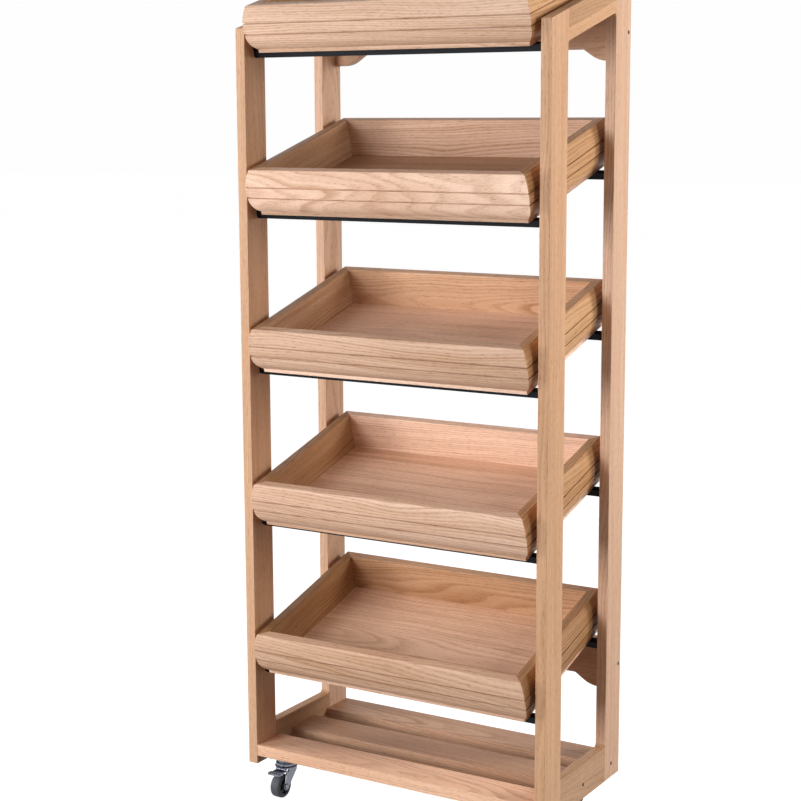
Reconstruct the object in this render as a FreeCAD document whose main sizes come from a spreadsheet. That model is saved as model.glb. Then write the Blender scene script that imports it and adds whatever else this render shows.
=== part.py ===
import FreeCAD, Part
import math
import os
import re
import Sketcher

# Bakery bread rack: two glued oak side frames on swivel castors, joined by two shaped back
# rails and three bottom slats. Five tilted trays lie on pairs of steel angles.
# +X points right, +Y to the back and +Z up. The origin is on the floor, under the middle
# of the rack's outer box. All sizes are millimetres and degrees.

SIZES = (
    # the whole rack
    ("rack_width", 700),
    ("rack_depth", 350),
    ("rack_height", 1700),
    ("tilt_angle", 16),
    # side frames
    ("board_thick", 22),
    ("leg_width", 70),
    ("top_rail_width", 57),
    ("bottom_rail_width", 74),
    ("corner_radius", 14),
    ("corner_tip", 0.5),
    # back rails
    ("back_rail_width", 100),
    ("ear_depth", 20),
    ("ear_length", 46),
    ("ear_slope", 30),
    ("back_rail_gap", 6),
    # bottom slats
    ("slat_width", 78),
    ("slat_thick", 24),
    ("slat_lift", 18),
    # dowels and screws
    ("dowel_radius", 4),
    ("dowel_length", 36),
    ("dowel_edge", 18),
    ("fit_gap", 0.1),
    ("screw_radius", 2.5),
    ("screw_head_radius", 4),
    ("screw_head_depth", 3),
    ("screw_length", 60),
    ("pan_radius", 2),
    ("pan_head_radius", 4),
    ("pan_head_height", 2.5),
    ("pan_length", 16),
    # trays
    ("lowest_tray_height", 269),
    ("top_tray_drop", 151),
    ("tray_front_gap", 4.5),
    ("tray_side_gap", 20),
    ("tray_extra_depth", 17),
    ("wall_height", 96),
    ("wall_thick", 20),
    ("wall_bulge", 9),
    ("lip_thick", 8),
    ("lip_inset", 7),
    ("floor_top", 18),
    ("groove_radius", 1.5),
    ("upper_groove", 62),
    ("lower_groove", 40),
    # steel angles under the trays
    ("angle_size", 15),
    ("angle_thick", 2.5),
    ("front_angle_place", 27),
    ("rear_angle_inset", 38),
    ("tab_width", 18),
    ("tab_thick", 3),
    ("tab_rise", 11),
    # castors
    ("castor_inset", 71.5),
    ("castor_setback", 36),
    ("castor_trail", 22),
    ("wheel_radius", 25),
    ("wheel_width", 22),
    ("tread_round", 4),
    ("rim_radius", 17),
    ("web_recess", 5),
    ("hub_radius", 8),
    ("axle_radius", 4),
    ("axle_eye_radius", 8),
    ("bolt_end", 2),
    ("running_gap", 0.05),
    ("side_gap", 0.5),
    ("plate_size", 60),
    ("plate_thick", 3),
    ("plate_hole_margin", 7),
    ("race_radius", 22),
    ("race_height", 17),
    ("king_pin_radius", 5),
    ("king_head_radius", 8),
    ("crown_gap", 13),
    ("fork_thick", 2.5),
    ("fork_side_gap", 2),
    ("fork_top_radius", 24),
    ("cheek_width", 34),
    ("pedal_pivot_back", 14),
    ("pedal_pivot_drop", 6),
    ("pedal_pin_radius", 2.5),
    ("pedal_eye_radius", 4.5),
    ("pedal_thick", 3),
    ("pedal_reach", 50),
    ("paddle_length", 15),
    ("paddle_width", 32),
    ("shoe_depth", 3),
)

TRAY_COUNT = 5

# Places that several pieces share, each worked out from the sizes.
PLACES = (
    ("inner_face", "rack_width / 2 - board_thick"),
    ("board_middle", "rack_width / 2 - board_thick / 2"),
    ("tray_width", "2 * (inner_face - tray_side_gap)"),
    ("tray_depth", "rack_depth + tray_extra_depth"),
    ("top_tray_height", "rack_height - top_tray_drop"),
    ("tray_pitch", f"(top_tray_height - lowest_tray_height) / {TRAY_COUNT - 1}"),
    ("rear_angle_place", "rack_depth - rear_angle_inset"),
    ("plate_hole_place", "plate_size / 2 - plate_hole_margin"),
    ("front_plane", "(wall_height + lip_thick) / 2 * sin(tilt_angle)"
                    " - tray_front_gap - tray_depth / 2 * cos(tilt_angle)"),
    ("back_plane", "front_plane + rack_depth"),
    ("front_joint", "front_plane + leg_width"),
    ("rear_joint", "back_plane - leg_width"),
    ("fork_bottom", "2 * wheel_radius + crown_gap"),
    ("fork_top", "fork_bottom + fork_thick"),
    ("race_bottom", "fork_top + side_gap"),
    ("castor_height", "race_bottom + race_height + plate_thick"),
    ("cheek_middle", "wheel_width / 2 + fork_side_gap + fork_thick / 2"),
    ("pedal_pivot_height", "fork_bottom - pedal_pivot_drop"),
    ("foot", "castor_height - slat_lift"),
    ("slat_top", "castor_height + slat_thick"),
    ("slat_middle", "castor_height + slat_thick / 2"),
    ("bottom_rail_top", "foot + bottom_rail_width"),
    ("top_rail_drop", "top_rail_width / cos(tilt_angle)"),
    ("front_top", "rack_height - rack_depth * tan(tilt_angle)"),
    ("front_joint_top", "front_top + leg_width * tan(tilt_angle)"),
    ("rear_joint_top", "rack_height - leg_width * tan(tilt_angle)"),
    ("tip_rise", "sqrt(corner_tip * (2 * corner_radius - corner_tip))"),
    ("back_rail_rise", "(rack_depth - board_thick - tray_front_gap) * tan(tilt_angle)"
                       " - back_rail_gap"),
    ("upper_rail_top", "top_tray_height + back_rail_rise"),
    ("lower_rail_top", "lowest_tray_height + back_rail_rise"),
    ("ear_radius", "(ear_slope * ear_slope + ear_depth * ear_depth) / (4 * ear_depth)"),
    ("bow_half", "(wall_height - lip_thick) / 2"),
    ("bow_middle", "(wall_height + lip_thick) / 2"),
    ("bow_radius", "(bow_half * bow_half + wall_bulge * wall_bulge) / (2 * wall_bulge)"),
    ("slat_pitch", "(rack_depth - slat_width) / 2"),
)

SIDES = (("left", -1), ("right", 1))

doc = FreeCAD.newDocument("BreadRack")


def fill_sheet(name, rows, formula):
    """Make a spreadsheet with one named cell per row."""
    sheet = doc.addObject("Spreadsheet::Sheet", name)
    for row, (alias, content) in enumerate(rows, start=1):
        sheet.set(f"A{row}", alias)
        sheet.setAlias(f"B{row}", alias)
        sheet.set(f"B{row}", formula(content))
    return sheet


size_names = {alias for alias, _ in SIZES}
place_names = {alias for alias, _ in PLACES}


def named(words):
    """Put the sheet's name before each size or place in a formula."""
    def full(match):
        word = match.group()
        if word in size_names:
            return "Sizes." + word
        return "Places." + word if word in place_names else word
    return re.sub(r"[a-z_]+", full, str(words))


def local(words):
    """Name the sizes in a formula of the Places sheet, whose own cells need no name."""
    return "=" + named(words).replace("Places.", "")


fill_sheet("Sizes", SIZES, str)
places_sheet = fill_sheet("Places", PLACES, local)
doc.recompute()


def value(words):
    """Work out a formula now."""
    return float(places_sheet.evalExpression(named(words)))


# ---------------------------------------------------------------------------
# Sketches, pads and pockets
# ---------------------------------------------------------------------------

def new_body(label, placement=None):
    """Start a solid of its own, placed by a formula where it isn't at the origin."""
    body = doc.addObject("PartDesign::Body", label)
    body.Label = label
    if placement:
        body.setExpression("Placement", placement)
    return body


def new_sketch(body, plane, offset="0"):
    """Start a sketch on one of the body's own planes, moved along the plane's normal."""
    sketch = body.newObject("Sketcher::SketchObject", body.Name + "_sketch")
    support = [f for f in body.Origin.OriginFeatures if f.Role == plane][0]
    sketch.AttachmentSupport = (support, [""])
    sketch.MapMode = "FlatFace"
    sketch.setExpression("AttachmentOffset.Base.z", named(offset))
    return sketch


def pin_point(sketch, geometry, point, across, up):
    """Hold one sketch point at two formulas."""
    for kind, words in (("DistanceX", across), ("DistanceY", up)):
        rule = Sketcher.Constraint(kind, -1, 1, geometry, point, value(words))
        index = sketch.addConstraint(rule)
        sketch.setExpression(f"Constraints[{index}]", named(words))


def arc_between(start, end, radius, turn):
    """The short arc from start to end, with its centre on the left for a turn of 1."""
    chord = end - start
    rise = math.sqrt(max(radius ** 2 - chord.Length ** 2 / 4, 0))
    side = FreeCAD.Vector(-chord.y, chord.x, 0).normalize() * rise * turn
    centre = (start + end) / 2 + side
    first, last = (start, end) if turn > 0 else (end, start)
    angles = [math.atan2(p.y - centre.y, p.x - centre.x) for p in (first, last)]
    circle = Part.Circle(centre, FreeCAD.Vector(0, 0, 1), radius)
    return Part.ArcOfCircle(circle, angles[0], angles[1])


def outline(sketch, points):
    """Draw a closed outline. A point is (across, up), or (across, up, radius, turn) where
    an arc leads to the next point."""
    places = [FreeCAD.Vector(value(p[0]), value(p[1]), 0) for p in points]
    first = sketch.GeometryCount
    for number, point in enumerate(points):
        start = places[number]
        end = places[(number + 1) % len(points)]
        if len(point) == 2:
            sketch.addGeometry(Part.LineSegment(start, end))
            continue
        sketch.addGeometry(arc_between(start, end, value(point[2]), point[3]))
    for number, point in enumerate(points):
        turn = point[3] if len(point) == 4 else 1
        own, far = (1, 2) if turn > 0 else (2, 1)
        follower = (number + 1) % len(points)
        next_turn = points[follower][3] if len(points[follower]) == 4 else 1
        next_own = 1 if next_turn > 0 else 2
        sketch.addConstraint(Sketcher.Constraint(
            "Coincident", first + number, far, first + follower, next_own))
        pin_point(sketch, first + number, own, point[0], point[1])
        if len(point) == 4:
            rule = Sketcher.Constraint("Radius", first + number, value(point[2]))
            index = sketch.addConstraint(rule)
            sketch.setExpression(f"Constraints[{index}]", named(point[2]))


def circles(sketch, centres, radius):
    """Draw equal circles about the given points."""
    for across, up in centres:
        centre = FreeCAD.Vector(value(across), value(up), 0)
        number = sketch.addGeometry(
            Part.Circle(centre, FreeCAD.Vector(0, 0, 1), value(radius)))
        pin_point(sketch, number, 3, across, up)
        index = sketch.addConstraint(Sketcher.Constraint("Radius", number, value(radius)))
        sketch.setExpression(f"Constraints[{index}]", named(radius))


def pad(body, sketch, length):
    """Thicken a sketch equally to both sides."""
    feature = body.newObject("PartDesign::Pad", body.Name + "_pad")
    feature.Profile = sketch
    feature.SideType = "Symmetric"
    feature.setExpression("Length", named(length))
    sketch.Visibility = False
    return feature


def pocket(body, sketch, length=None):
    """Cut a sketch away equally to both sides, right through where no length is given."""
    doc.recompute()
    before = body.Shape.Volume
    feature = body.newObject("PartDesign::Pocket", body.Name + "_pocket")
    feature.Profile = sketch
    feature.SideType = "Symmetric"
    if length:
        feature.setExpression("Length", named(length))
    else:
        feature.Type = "ThroughAll"
    sketch.Visibility = False
    doc.recompute()
    if body.Shape.Volume >= before:
        raise RuntimeError(f"{body.Label}: {feature.Name} cuts nothing")
    return feature


def board(label, plane, place, points, thickness, placement=None):
    """A board: an outline on a plane, thickened about that plane."""
    body = new_body(label, placement)
    sketch = new_sketch(body, plane, place)
    outline(sketch, points)
    pad(body, sketch, thickness)
    return body


def drill(body, plane, place, centres, radius, length=None):
    """Drill equal round holes, half their length to each side of a plane."""
    sketch = new_sketch(body, plane, place)
    circles(sketch, centres, radius)
    pocket(body, sketch, length)


def rectangle(left, low, right, high):
    return [(left, low), (right, low), (right, high), (left, high)]


# ---------------------------------------------------------------------------
# Where the trays, screws and dowels sit
# ---------------------------------------------------------------------------

def tray_placement(number):
    """The tilted frame of a tray: its origin is under the middle of its front rim."""
    height = f"lowest_tray_height + {TRAY_COUNT - number} * tray_pitch"
    return named(f"placement(vector(0; front_plane + tray_front_gap; {height});"
                 " rotation(vector(1; 0; 0); tilt_angle))")


def tab_screw_places(number, angle_place):
    """Where the screw of an angle's end tab meets the leg, as depth and height."""
    along = f"({angle_place} + tab_width / 2)"
    above = "(tab_rise / 2)"
    height = f"lowest_tray_height + {TRAY_COUNT - number} * tray_pitch"
    depth = (f"front_plane + tray_front_gap + {along} * cos(tilt_angle)"
             f" - {above} * sin(tilt_angle)")
    rise = f"{height} + {along} * sin(tilt_angle) + {above} * cos(tilt_angle)"
    return depth, rise


ANGLES = (("front", "front_angle_place"), ("rear", "rear_angle_place"))
SLATS = (("front", "0"), ("middle", "slat_pitch"), ("rear", "2 * slat_pitch"))
LEVELS = range(1, TRAY_COUNT + 1)

slat_screws = {name: (f"front_plane + {start} + slat_width / 2", "slat_middle")
               for name, start in SLATS}
back_rails = {"upper": "upper_rail_top", "lower": "lower_rail_top"}
rail_screws = {name: ("back_plane - board_thick / 2", f"{top} - back_rail_width / 2")
               for name, top in back_rails.items()}
leg_screws = {"front": [slat_screws["front"]],
              "rear": [slat_screws["rear"], rail_screws["upper"], rail_screws["lower"]]}
tab_screws = {end: [tab_screw_places(number, place) for number in LEVELS]
              for end, place in ANGLES}
joint_dowels = {
    end: ["foot + dowel_edge", "bottom_rail_top - dowel_edge",
          f"{end}_joint_top - dowel_edge", f"{end}_joint_top - top_rail_drop + dowel_edge"]
    for end in ("front", "rear")}


# ---------------------------------------------------------------------------
# Side frames
# ---------------------------------------------------------------------------

def drill_frame_screws(body, side, centres):
    """Holes for wood screws, with a counterbore in the rack's outer face."""
    drill(body, "YZ_Plane", f"{side} * board_middle", centres, "screw_radius + fit_gap")
    drill(body, "YZ_Plane", f"{side} * rack_width / 2", centres,
          "screw_head_radius + fit_gap", "2 * screw_head_depth")


def drill_dowels(body, side, joint, heights):
    centres = [(f"{side} * board_middle", height) for height in heights]
    drill(body, "XZ_Plane", f"0 - {joint}", centres, "dowel_radius + fit_gap",
          "dowel_length + 2 * fit_gap")


def leg(side_name, side, end, start, stop, start_top, stop_top, joint):
    """A leg of a side frame, cut off at the slope of the top."""
    points = [(start, "foot"), (stop, "foot"), (stop, stop_top), (start, start_top)]
    body = board(f"{side_name}_{end}_leg", "YZ_Plane", f"{side} * board_middle", points,
                 "board_thick")
    drill_frame_screws(body, side, leg_screws[end])
    drill(body, "YZ_Plane", f"{side} * inner_face", tab_screws[end], "pan_radius + fit_gap",
          "2 * (pan_length - tab_thick + fit_gap)")
    drill_dowels(body, side, joint, joint_dowels[end])
    return body


def bottom_rail(side_name, side):
    """The lower rail of a side frame, whose ends sweep up into the legs."""
    swept = "bottom_rail_top + corner_radius"
    points = [
        ("front_joint", "foot"),
        ("rear_joint", "foot"),
        ("rear_joint", f"{swept} - tip_rise"),
        ("rear_joint - corner_tip", f"{swept} - tip_rise", "corner_radius", -1),
        ("rear_joint - corner_radius", "bottom_rail_top"),
        ("front_joint + corner_radius", "bottom_rail_top", "corner_radius", -1),
        ("front_joint + corner_tip", f"{swept} - tip_rise"),
        ("front_joint", f"{swept} - tip_rise"),
    ]
    body = board(f"{side_name}_bottom_rail", "YZ_Plane", f"{side} * board_middle", points,
                 "board_thick")
    drill_frame_screws(body, side, [slat_screws["middle"]])
    drill_dowels(body, side, "front_joint", joint_dowels["front"][:2])
    drill_dowels(body, side, "rear_joint", joint_dowels["rear"][:2])
    return body


def top_rail(side_name, side):
    """The sloping rail of a side frame, whose ends sweep down into the legs."""
    front_low = ("(front_joint_top - top_rail_drop + corner_radius * tan(tilt_angle)"
                 " - corner_radius / cos(tilt_angle))")
    rear_low = ("(rear_joint_top - top_rail_drop - corner_radius * tan(tilt_angle)"
                " - corner_radius / cos(tilt_angle))")
    across = "corner_radius * sin(tilt_angle)"
    rise = "corner_radius * cos(tilt_angle)"
    points = [
        ("front_joint", "front_joint_top"),
        ("front_joint", f"{front_low} + tip_rise"),
        ("front_joint + corner_tip", f"{front_low} + tip_rise", "corner_radius", -1),
        (f"front_joint + corner_radius - {across}", f"{front_low} + {rise}"),
        (f"rear_joint - corner_radius - {across}", f"{rear_low} + {rise}",
         "corner_radius", -1),
        ("rear_joint - corner_tip", f"{rear_low} + tip_rise"),
        ("rear_joint", f"{rear_low} + tip_rise"),
        ("rear_joint", "rear_joint_top"),
    ]
    body = board(f"{side_name}_top_rail", "YZ_Plane", f"{side} * board_middle", points,
                 "board_thick")
    drill_dowels(body, side, "front_joint", joint_dowels["front"][2:])
    drill_dowels(body, side, "rear_joint", joint_dowels["rear"][2:])
    return body


def side_frame(side_name, side):
    return [
        leg(side_name, side, "front", "front_plane", "front_joint", "front_top",
            "front_joint_top", "front_joint"),
        leg(side_name, side, "rear", "rear_joint", "back_plane", "rear_joint_top",
            "rack_height", "rear_joint"),
        top_rail(side_name, side),
        bottom_rail(side_name, side),
    ]


# ---------------------------------------------------------------------------
# Back rails and bottom slats
# ---------------------------------------------------------------------------

def drill_pilots(body, place):
    """Holes in both ends of a board that runs from side to side."""
    for _, side in SIDES:
        drill(body, "YZ_Plane", f"{side} * inner_face", [place], "screw_radius + fit_gap",
              "2 * (screw_length - board_thick + fit_gap)")


def back_rail(name, top):
    """A rail between the rear legs, with a deeper ear at each end."""
    low = f"({top} - back_rail_width)"
    middle = f"({low} + ear_depth)"
    half_way = f"({low} + ear_depth / 2)"
    ear = "(inner_face - ear_length)"
    bend = f"({ear} - ear_slope / 2)"
    straight = f"({ear} - ear_slope)"
    points = [
        ("0 - inner_face", low),
        (f"0 - {ear}", low, "ear_radius", 1),
        (f"0 - {bend}", half_way, "ear_radius", -1),
        (f"0 - {straight}", middle),
        (straight, middle, "ear_radius", -1),
        (bend, half_way, "ear_radius", 1),
        (ear, low),
        ("inner_face", low),
        ("inner_face", top),
        ("0 - inner_face", top),
    ]
    body = board(f"{name}_back_rail", "XZ_Plane", "board_thick / 2 - back_plane", points,
                 "board_thick")
    drill_pilots(body, rail_screws[name])
    return body


def slat(name, start):
    """A board of the bottom shelf."""
    near = f"front_plane + {start}"
    points = rectangle(near, "castor_height", f"{near} + slat_width", "slat_top")
    body = board(f"{name}_slat", "YZ_Plane", "0", points, "2 * inner_face")
    drill_pilots(body, slat_screws[name])
    if name != "middle":
        drill(body, "XY_Plane", "castor_height", plate_screw_places(name),
              "pan_radius + fit_gap", "2 * (pan_length - plate_thick + fit_gap)")
    return body


# ---------------------------------------------------------------------------
# Trays
# ---------------------------------------------------------------------------

def wall_board(label, length, placement):
    """A tray wall with mitred ends. Its outer face bows out and has two routed grooves."""
    half = f"({length} / 2)"
    points = [
        (f"0 - {half} - wall_bulge", "0 - wall_bulge"),
        (f"{half} + wall_bulge", "0 - wall_bulge"),
        (f"{half} - wall_thick", "wall_thick"),
        (f"wall_thick - {half}", "wall_thick"),
    ]
    body = board(label, "XY_Plane", "bow_middle", points, "2 * bow_half", placement)
    waste = new_sketch(body, "YZ_Plane")
    outline(waste, [
        ("0", "wall_height", "bow_radius", 1),
        ("0", "lip_thick"),
        ("0", "lip_thick - wall_bulge"),
        ("0 - 2 * wall_bulge", "lip_thick - wall_bulge"),
        ("0 - 2 * wall_bulge", "wall_height + wall_bulge"),
        ("0", "wall_height + wall_bulge"),
    ])
    pocket(body, waste)
    depth = "bow_radius - wall_bulge"
    centres = [(f"{depth} - sqrt(bow_radius * bow_radius - ({groove} - bow_middle)"
                f" * ({groove} - bow_middle))", groove)
               for groove in ("upper_groove", "lower_groove")]
    drill(body, "YZ_Plane", "0", centres, "groove_radius")
    return body


def tray_floor(label, placement):
    """A solid floor panel: a raised middle inside the walls, and a lip under them."""
    edge = "(tray_width / 2 - lip_inset)"
    body = board(label, "XY_Plane", "lip_thick / 2",
                 rectangle(f"0 - {edge}", "lip_inset", edge, "tray_depth - lip_inset"),
                 "lip_thick", placement)
    inside = "(tray_width / 2 - wall_thick - fit_gap)"
    raised = new_sketch(body, "XY_Plane", "floor_top / 2")
    outline(raised, rectangle(f"0 - {inside}", "wall_thick + fit_gap", inside,
                              "tray_depth - wall_thick - fit_gap"))
    pad(body, raised, "floor_top")
    return body


def tray(number):
    frame = tray_placement(number)
    walls = (
        ("front", "tray_width", "0", "0", 0),
        ("rear", "tray_width", "0", "tray_depth", 180),
        ("left", "tray_depth", "0 - tray_width / 2", "tray_depth / 2", -90),
        ("right", "tray_depth", "tray_width / 2", "tray_depth / 2", 90),
    )
    made = []
    for name, length, across, along, turn in walls:
        place = named(f" * placement(vector({across}; {along}; 0);"
                      f" rotation(vector(0; 0; 1); {turn}))")
        made.append(wall_board(f"tray_{number}_{name}", length, frame + place))
    made.append(tray_floor(f"tray_{number}_floor", frame))
    return made


# ---------------------------------------------------------------------------
# Steel angles under the trays
# ---------------------------------------------------------------------------

def angle(number, end, near):
    """A steel angle from leg to leg, with a screwed tab at each end."""
    length = "2 * (inner_face - tab_thick)"
    points = [
        (near, "0 - angle_size"),
        (f"{near} + angle_thick", "0 - angle_size"),
        (f"{near} + angle_thick", "0 - angle_thick"),
        (f"{near} + angle_size", "0 - angle_thick"),
        (f"{near} + angle_size", "0"),
        (near, "0"),
    ]
    body = board(f"tray_{number}_{end}_angle", "YZ_Plane", "0", points, length,
                 tray_placement(number))
    for _, side in SIDES:
        tab = new_sketch(body, "YZ_Plane", f"{side} * (inner_face - tab_thick / 2)")
        outline(tab, rectangle(near, "0 - angle_size", f"{near} + tab_width", "tab_rise"))
        pad(body, tab, "tab_thick")
    drill(body, "YZ_Plane", "0", [(f"{near} + tab_width / 2", "tab_rise / 2")],
          "pan_radius + fit_gap")
    return body


def tray_angles(number):
    """The two angles that carry one tray, kept together as one node."""
    pair = doc.addObject("Part::Compound", f"tray_{number}_angles")
    pair.Label = f"tray_{number}_angles"
    pair.Links = [angle(number, end, near) for end, near in ANGLES]
    return pair


# ---------------------------------------------------------------------------
# Castors
# ---------------------------------------------------------------------------

CASTORS = (
    ("front", "left", -1, "front_plane + castor_setback", True),
    ("front", "right", 1, "front_plane + castor_setback", True),
    ("rear", "left", -1, "back_plane - castor_setback", False),
    ("rear", "right", 1, "back_plane - castor_setback", False),
)


def castor_x(side):
    return f"{side} * (rack_width / 2 - castor_inset)"


def plate_screw_places(end):
    """Where the screws of an end's two castor plates enter its slat."""
    return [(f"{castor_x(side)} + {across} * plate_hole_place",
             f"{depth} + {along} * plate_hole_place")
            for row, _, side, depth, _ in CASTORS if row == end
            for across in (-1, 1) for along in (-1, 1)]


def castor_plate(label, placement):
    """The screwed plate with its ball race and king pin."""
    half = "plate_size / 2"
    body = board(label, "XY_Plane", "castor_height - plate_thick / 2",
                 rectangle(f"0 - {half}", f"0 - {half}", half, half), "plate_thick",
                 placement)
    drill(body, "XY_Plane", "castor_height",
          [(f"{across} * plate_hole_place", f"{along} * plate_hole_place")
           for across in (-1, 1) for along in (-1, 1)], "pan_radius + fit_gap")
    head = "(fork_bottom - side_gap)"
    turned = (
        ("race_radius", "race_bottom", "castor_height - plate_thick"),
        ("king_pin_radius", head, "race_bottom"),
        ("king_head_radius", f"{head} - fork_thick", head),
    )
    for radius, low, high in turned:
        disc = new_sketch(body, "XY_Plane", f"({low} + {high}) / 2")
        circles(disc, [("0", "0")], radius)
        pad(body, disc, f"{high} - ({low})")
    return body


def castor_fork(label, placement, braked):
    """The swivelling fork with its axle bolt, and a pin for the pedal where it has one."""
    body = new_body(label, placement)
    top = new_sketch(body, "XY_Plane", "fork_top - fork_thick / 2")
    circles(top, [("0", "0")], "fork_top_radius")
    pad(body, top, "fork_thick")
    drill(body, "XY_Plane", "fork_top", [("0", "0")], "king_pin_radius + running_gap")
    lead = "(cheek_width / 2)"
    slant = "(axle_eye_radius * sqrt(2) / 2)"
    cheek = [
        (lead, "fork_top"),
        (f"0 - {lead}", "fork_top"),
        ("0 - castor_trail - axle_eye_radius", "wheel_radius", "axle_eye_radius", 1),
        (f"{slant} - castor_trail", f"wheel_radius - {slant}"),
        (lead, f"wheel_radius + castor_trail + {lead} - 2 * {slant}"),
    ]
    for _, side in SIDES:
        plate = new_sketch(body, "YZ_Plane", f"{side} * cheek_middle")
        outline(plate, cheek)
        pad(body, plate, "fork_thick")
    pins = [("0 - castor_trail", "wheel_radius", "axle_radius")]
    if braked:
        pins.append(("0 - pedal_pivot_back", "pedal_pivot_height", "pedal_pin_radius"))
    for along, up, radius in pins:
        pin = new_sketch(body, "YZ_Plane")
        circles(pin, [(along, up)], radius)
        pad(body, pin, "2 * cheek_middle + fork_thick + 2 * bolt_end")
    return body


def castor_wheel(label, placement):
    """A wheel turned about its axle: hub, recessed web and a tread with rounded edges."""
    body = new_body(label, placement)
    half = "wheel_width / 2"
    bore = "axle_radius + running_gap"
    web = f"{half} - web_recess"
    edge = "wheel_radius - tread_round"
    section = new_sketch(body, "XY_Plane")
    outline(section, [
        (f"0 - ({half})", bore),
        (half, bore),
        (half, "hub_radius"),
        (web, "hub_radius"),
        (web, "rim_radius"),
        (half, "rim_radius"),
        (half, edge, "tread_round", 1),
        (f"{half} - tread_round", "wheel_radius"),
        (f"tread_round - {half}", "wheel_radius", "tread_round", 1),
        (f"0 - {half}", edge),
        (f"0 - {half}", "rim_radius"),
        (f"0 - ({web})", "rim_radius"),
        (f"0 - ({web})", "hub_radius"),
        (f"0 - {half}", "hub_radius"),
    ])
    turned = body.newObject("PartDesign::Revolution", label + "_turned")
    turned.Profile = section
    turned.ReferenceAxis = (section, ["H_Axis"])
    turned.Angle = 360
    section.Visibility = False
    return body


def castor_pedal(label, placement):
    """The brake pedal: an eye on its pin, an arm, a wider paddle and a brake shoe."""
    body = new_body(label, placement)
    pivot = ("0 - pedal_pivot_back", "pedal_pivot_height")
    width = "wheel_width + 2 * fork_side_gap - 2 * side_gap"
    eye = new_sketch(body, "YZ_Plane")
    circles(eye, [pivot], "pedal_eye_radius")
    pad(body, eye, width)
    arm = new_sketch(body, "YZ_Plane")
    low = "pedal_pivot_height - pedal_thick / 2"
    neck = "paddle_length - pedal_reach"
    outline(arm, rectangle(neck, low, pivot[0], f"{low} + pedal_thick"))
    pad(body, arm, width)
    shoe = new_sketch(body, "YZ_Plane")
    outline(shoe, rectangle(f"{neck} + pedal_thick / 2", f"{low} - shoe_depth",
                            f"{neck} + 2 * pedal_thick", low))
    pad(body, shoe, width)
    paddle = new_sketch(body, "YZ_Plane")
    outline(paddle, rectangle("0 - pedal_reach", low, neck, f"{low} + pedal_thick"))
    pad(body, paddle, "paddle_width")
    drill(body, "YZ_Plane", "0", [pivot], "pedal_pin_radius + running_gap")
    return body


def castor(end, side_name, side, depth, braked):
    prefix = f"castor_{end}_{side_name}"
    placement = named(f"placement(vector({castor_x(side)}; {depth}; 0);"
                      " rotation(vector(0; 0; 1); 0))")
    axle = named(" * placement(vector(0; 0 - castor_trail; wheel_radius);"
                 " rotation(vector(0; 0; 1); 0))")
    made = [
        castor_plate(prefix + "_plate", placement),
        castor_fork(prefix + "_fork", placement, braked),
        castor_wheel(prefix + "_wheel", placement + axle),
    ]
    if braked:
        made.append(castor_pedal(prefix + "_pedal", placement))
    return made


# ---------------------------------------------------------------------------
# Fasteners, each kind kept together as one node of separate solids
# ---------------------------------------------------------------------------

def turned_pin(label, steps):
    """A master fastener along +X: steps of (radius, start, end)."""
    body = new_body(label)
    for radius, start, end in steps:
        disc = new_sketch(body, "YZ_Plane", f"({start} + {end}) / 2")
        circles(disc, [("0", "0")], radius)
        pad(body, disc, f"{end} - ({start})")
    doc.recompute()
    return body


def scatter(label, master, seats):
    """Copies of a master at seats of (place, direction)."""
    along = FreeCAD.Vector(1, 0, 0)
    copies = []
    for place, direction in seats:
        turn = FreeCAD.Rotation(along, FreeCAD.Vector(*direction))
        copy = master.Shape.copy()
        copy.Placement = FreeCAD.Placement(FreeCAD.Vector(*place), turn)
        copies.append(copy)
    group = doc.addObject("Part::Feature", label)
    group.Label = label
    group.Shape = Part.Compound(copies)
    return group


def frame_screws():
    """Cap screws through the side frames into the slats and back rails."""
    master = turned_pin("frame_screw_master", (
        ("screw_head_radius", "0 - screw_head_depth", "0"),
        ("screw_radius", "0 - screw_length", "0 - screw_head_depth"),
    ))
    places = leg_screws["front"] + leg_screws["rear"] + [slat_screws["middle"]]
    seats = [((side * value("rack_width / 2"), value(depth), value(height)), (side, 0, 0))
             for _, side in SIDES for depth, height in places]
    return scatter("frame_screws", master, seats)


def pan_head_screws():
    """Screws with low heads, in the angles' tabs and the castors' plates."""
    master = turned_pin("pan_head_screw_master", (
        ("pan_head_radius", "0 - pan_head_height", "0"),
        ("pan_radius", "0", "pan_length"),
    ))
    seats = []
    for _, side in SIDES:
        face = side * value("inner_face - tab_thick")
        for depth, height in tab_screws["front"] + tab_screws["rear"]:
            seats.append(((face, value(depth), value(height)), (side, 0, 0)))
    under = value("castor_height - plate_thick")
    for end in ("front", "rear"):
        for across, along in plate_screw_places(end):
            seats.append(((value(across), value(along), under), (0, 0, 1)))
    return scatter("pan_head_screws", master, seats)


def frame_dowels():
    """Beech dowels across the joints of the side frames."""
    master = turned_pin("frame_dowel_master", (
        ("dowel_radius", "0 - dowel_length / 2", "dowel_length / 2"),
    ))
    seats = [((side * value("board_middle"), value(f"{end}_joint"), value(height)),
              (0, 1, 0))
             for _, side in SIDES for end in ("front", "rear")
             for height in joint_dowels[end]]
    return scatter("frame_dowels", master, seats)


# ---------------------------------------------------------------------------
# The rack
# ---------------------------------------------------------------------------

pieces = []
for side_name, side in SIDES:
    pieces += side_frame(side_name, side)
for name, top in back_rails.items():
    pieces.append(back_rail(name, top))
for name, start in SLATS:
    pieces.append(slat(name, start))
for number in LEVELS:
    pieces += tray(number)
    pieces.append(tray_angles(number))
for row in CASTORS:
    pieces += castor(*row)
pieces += [frame_screws(), pan_head_screws(), frame_dowels()]
doc.recompute()

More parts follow.
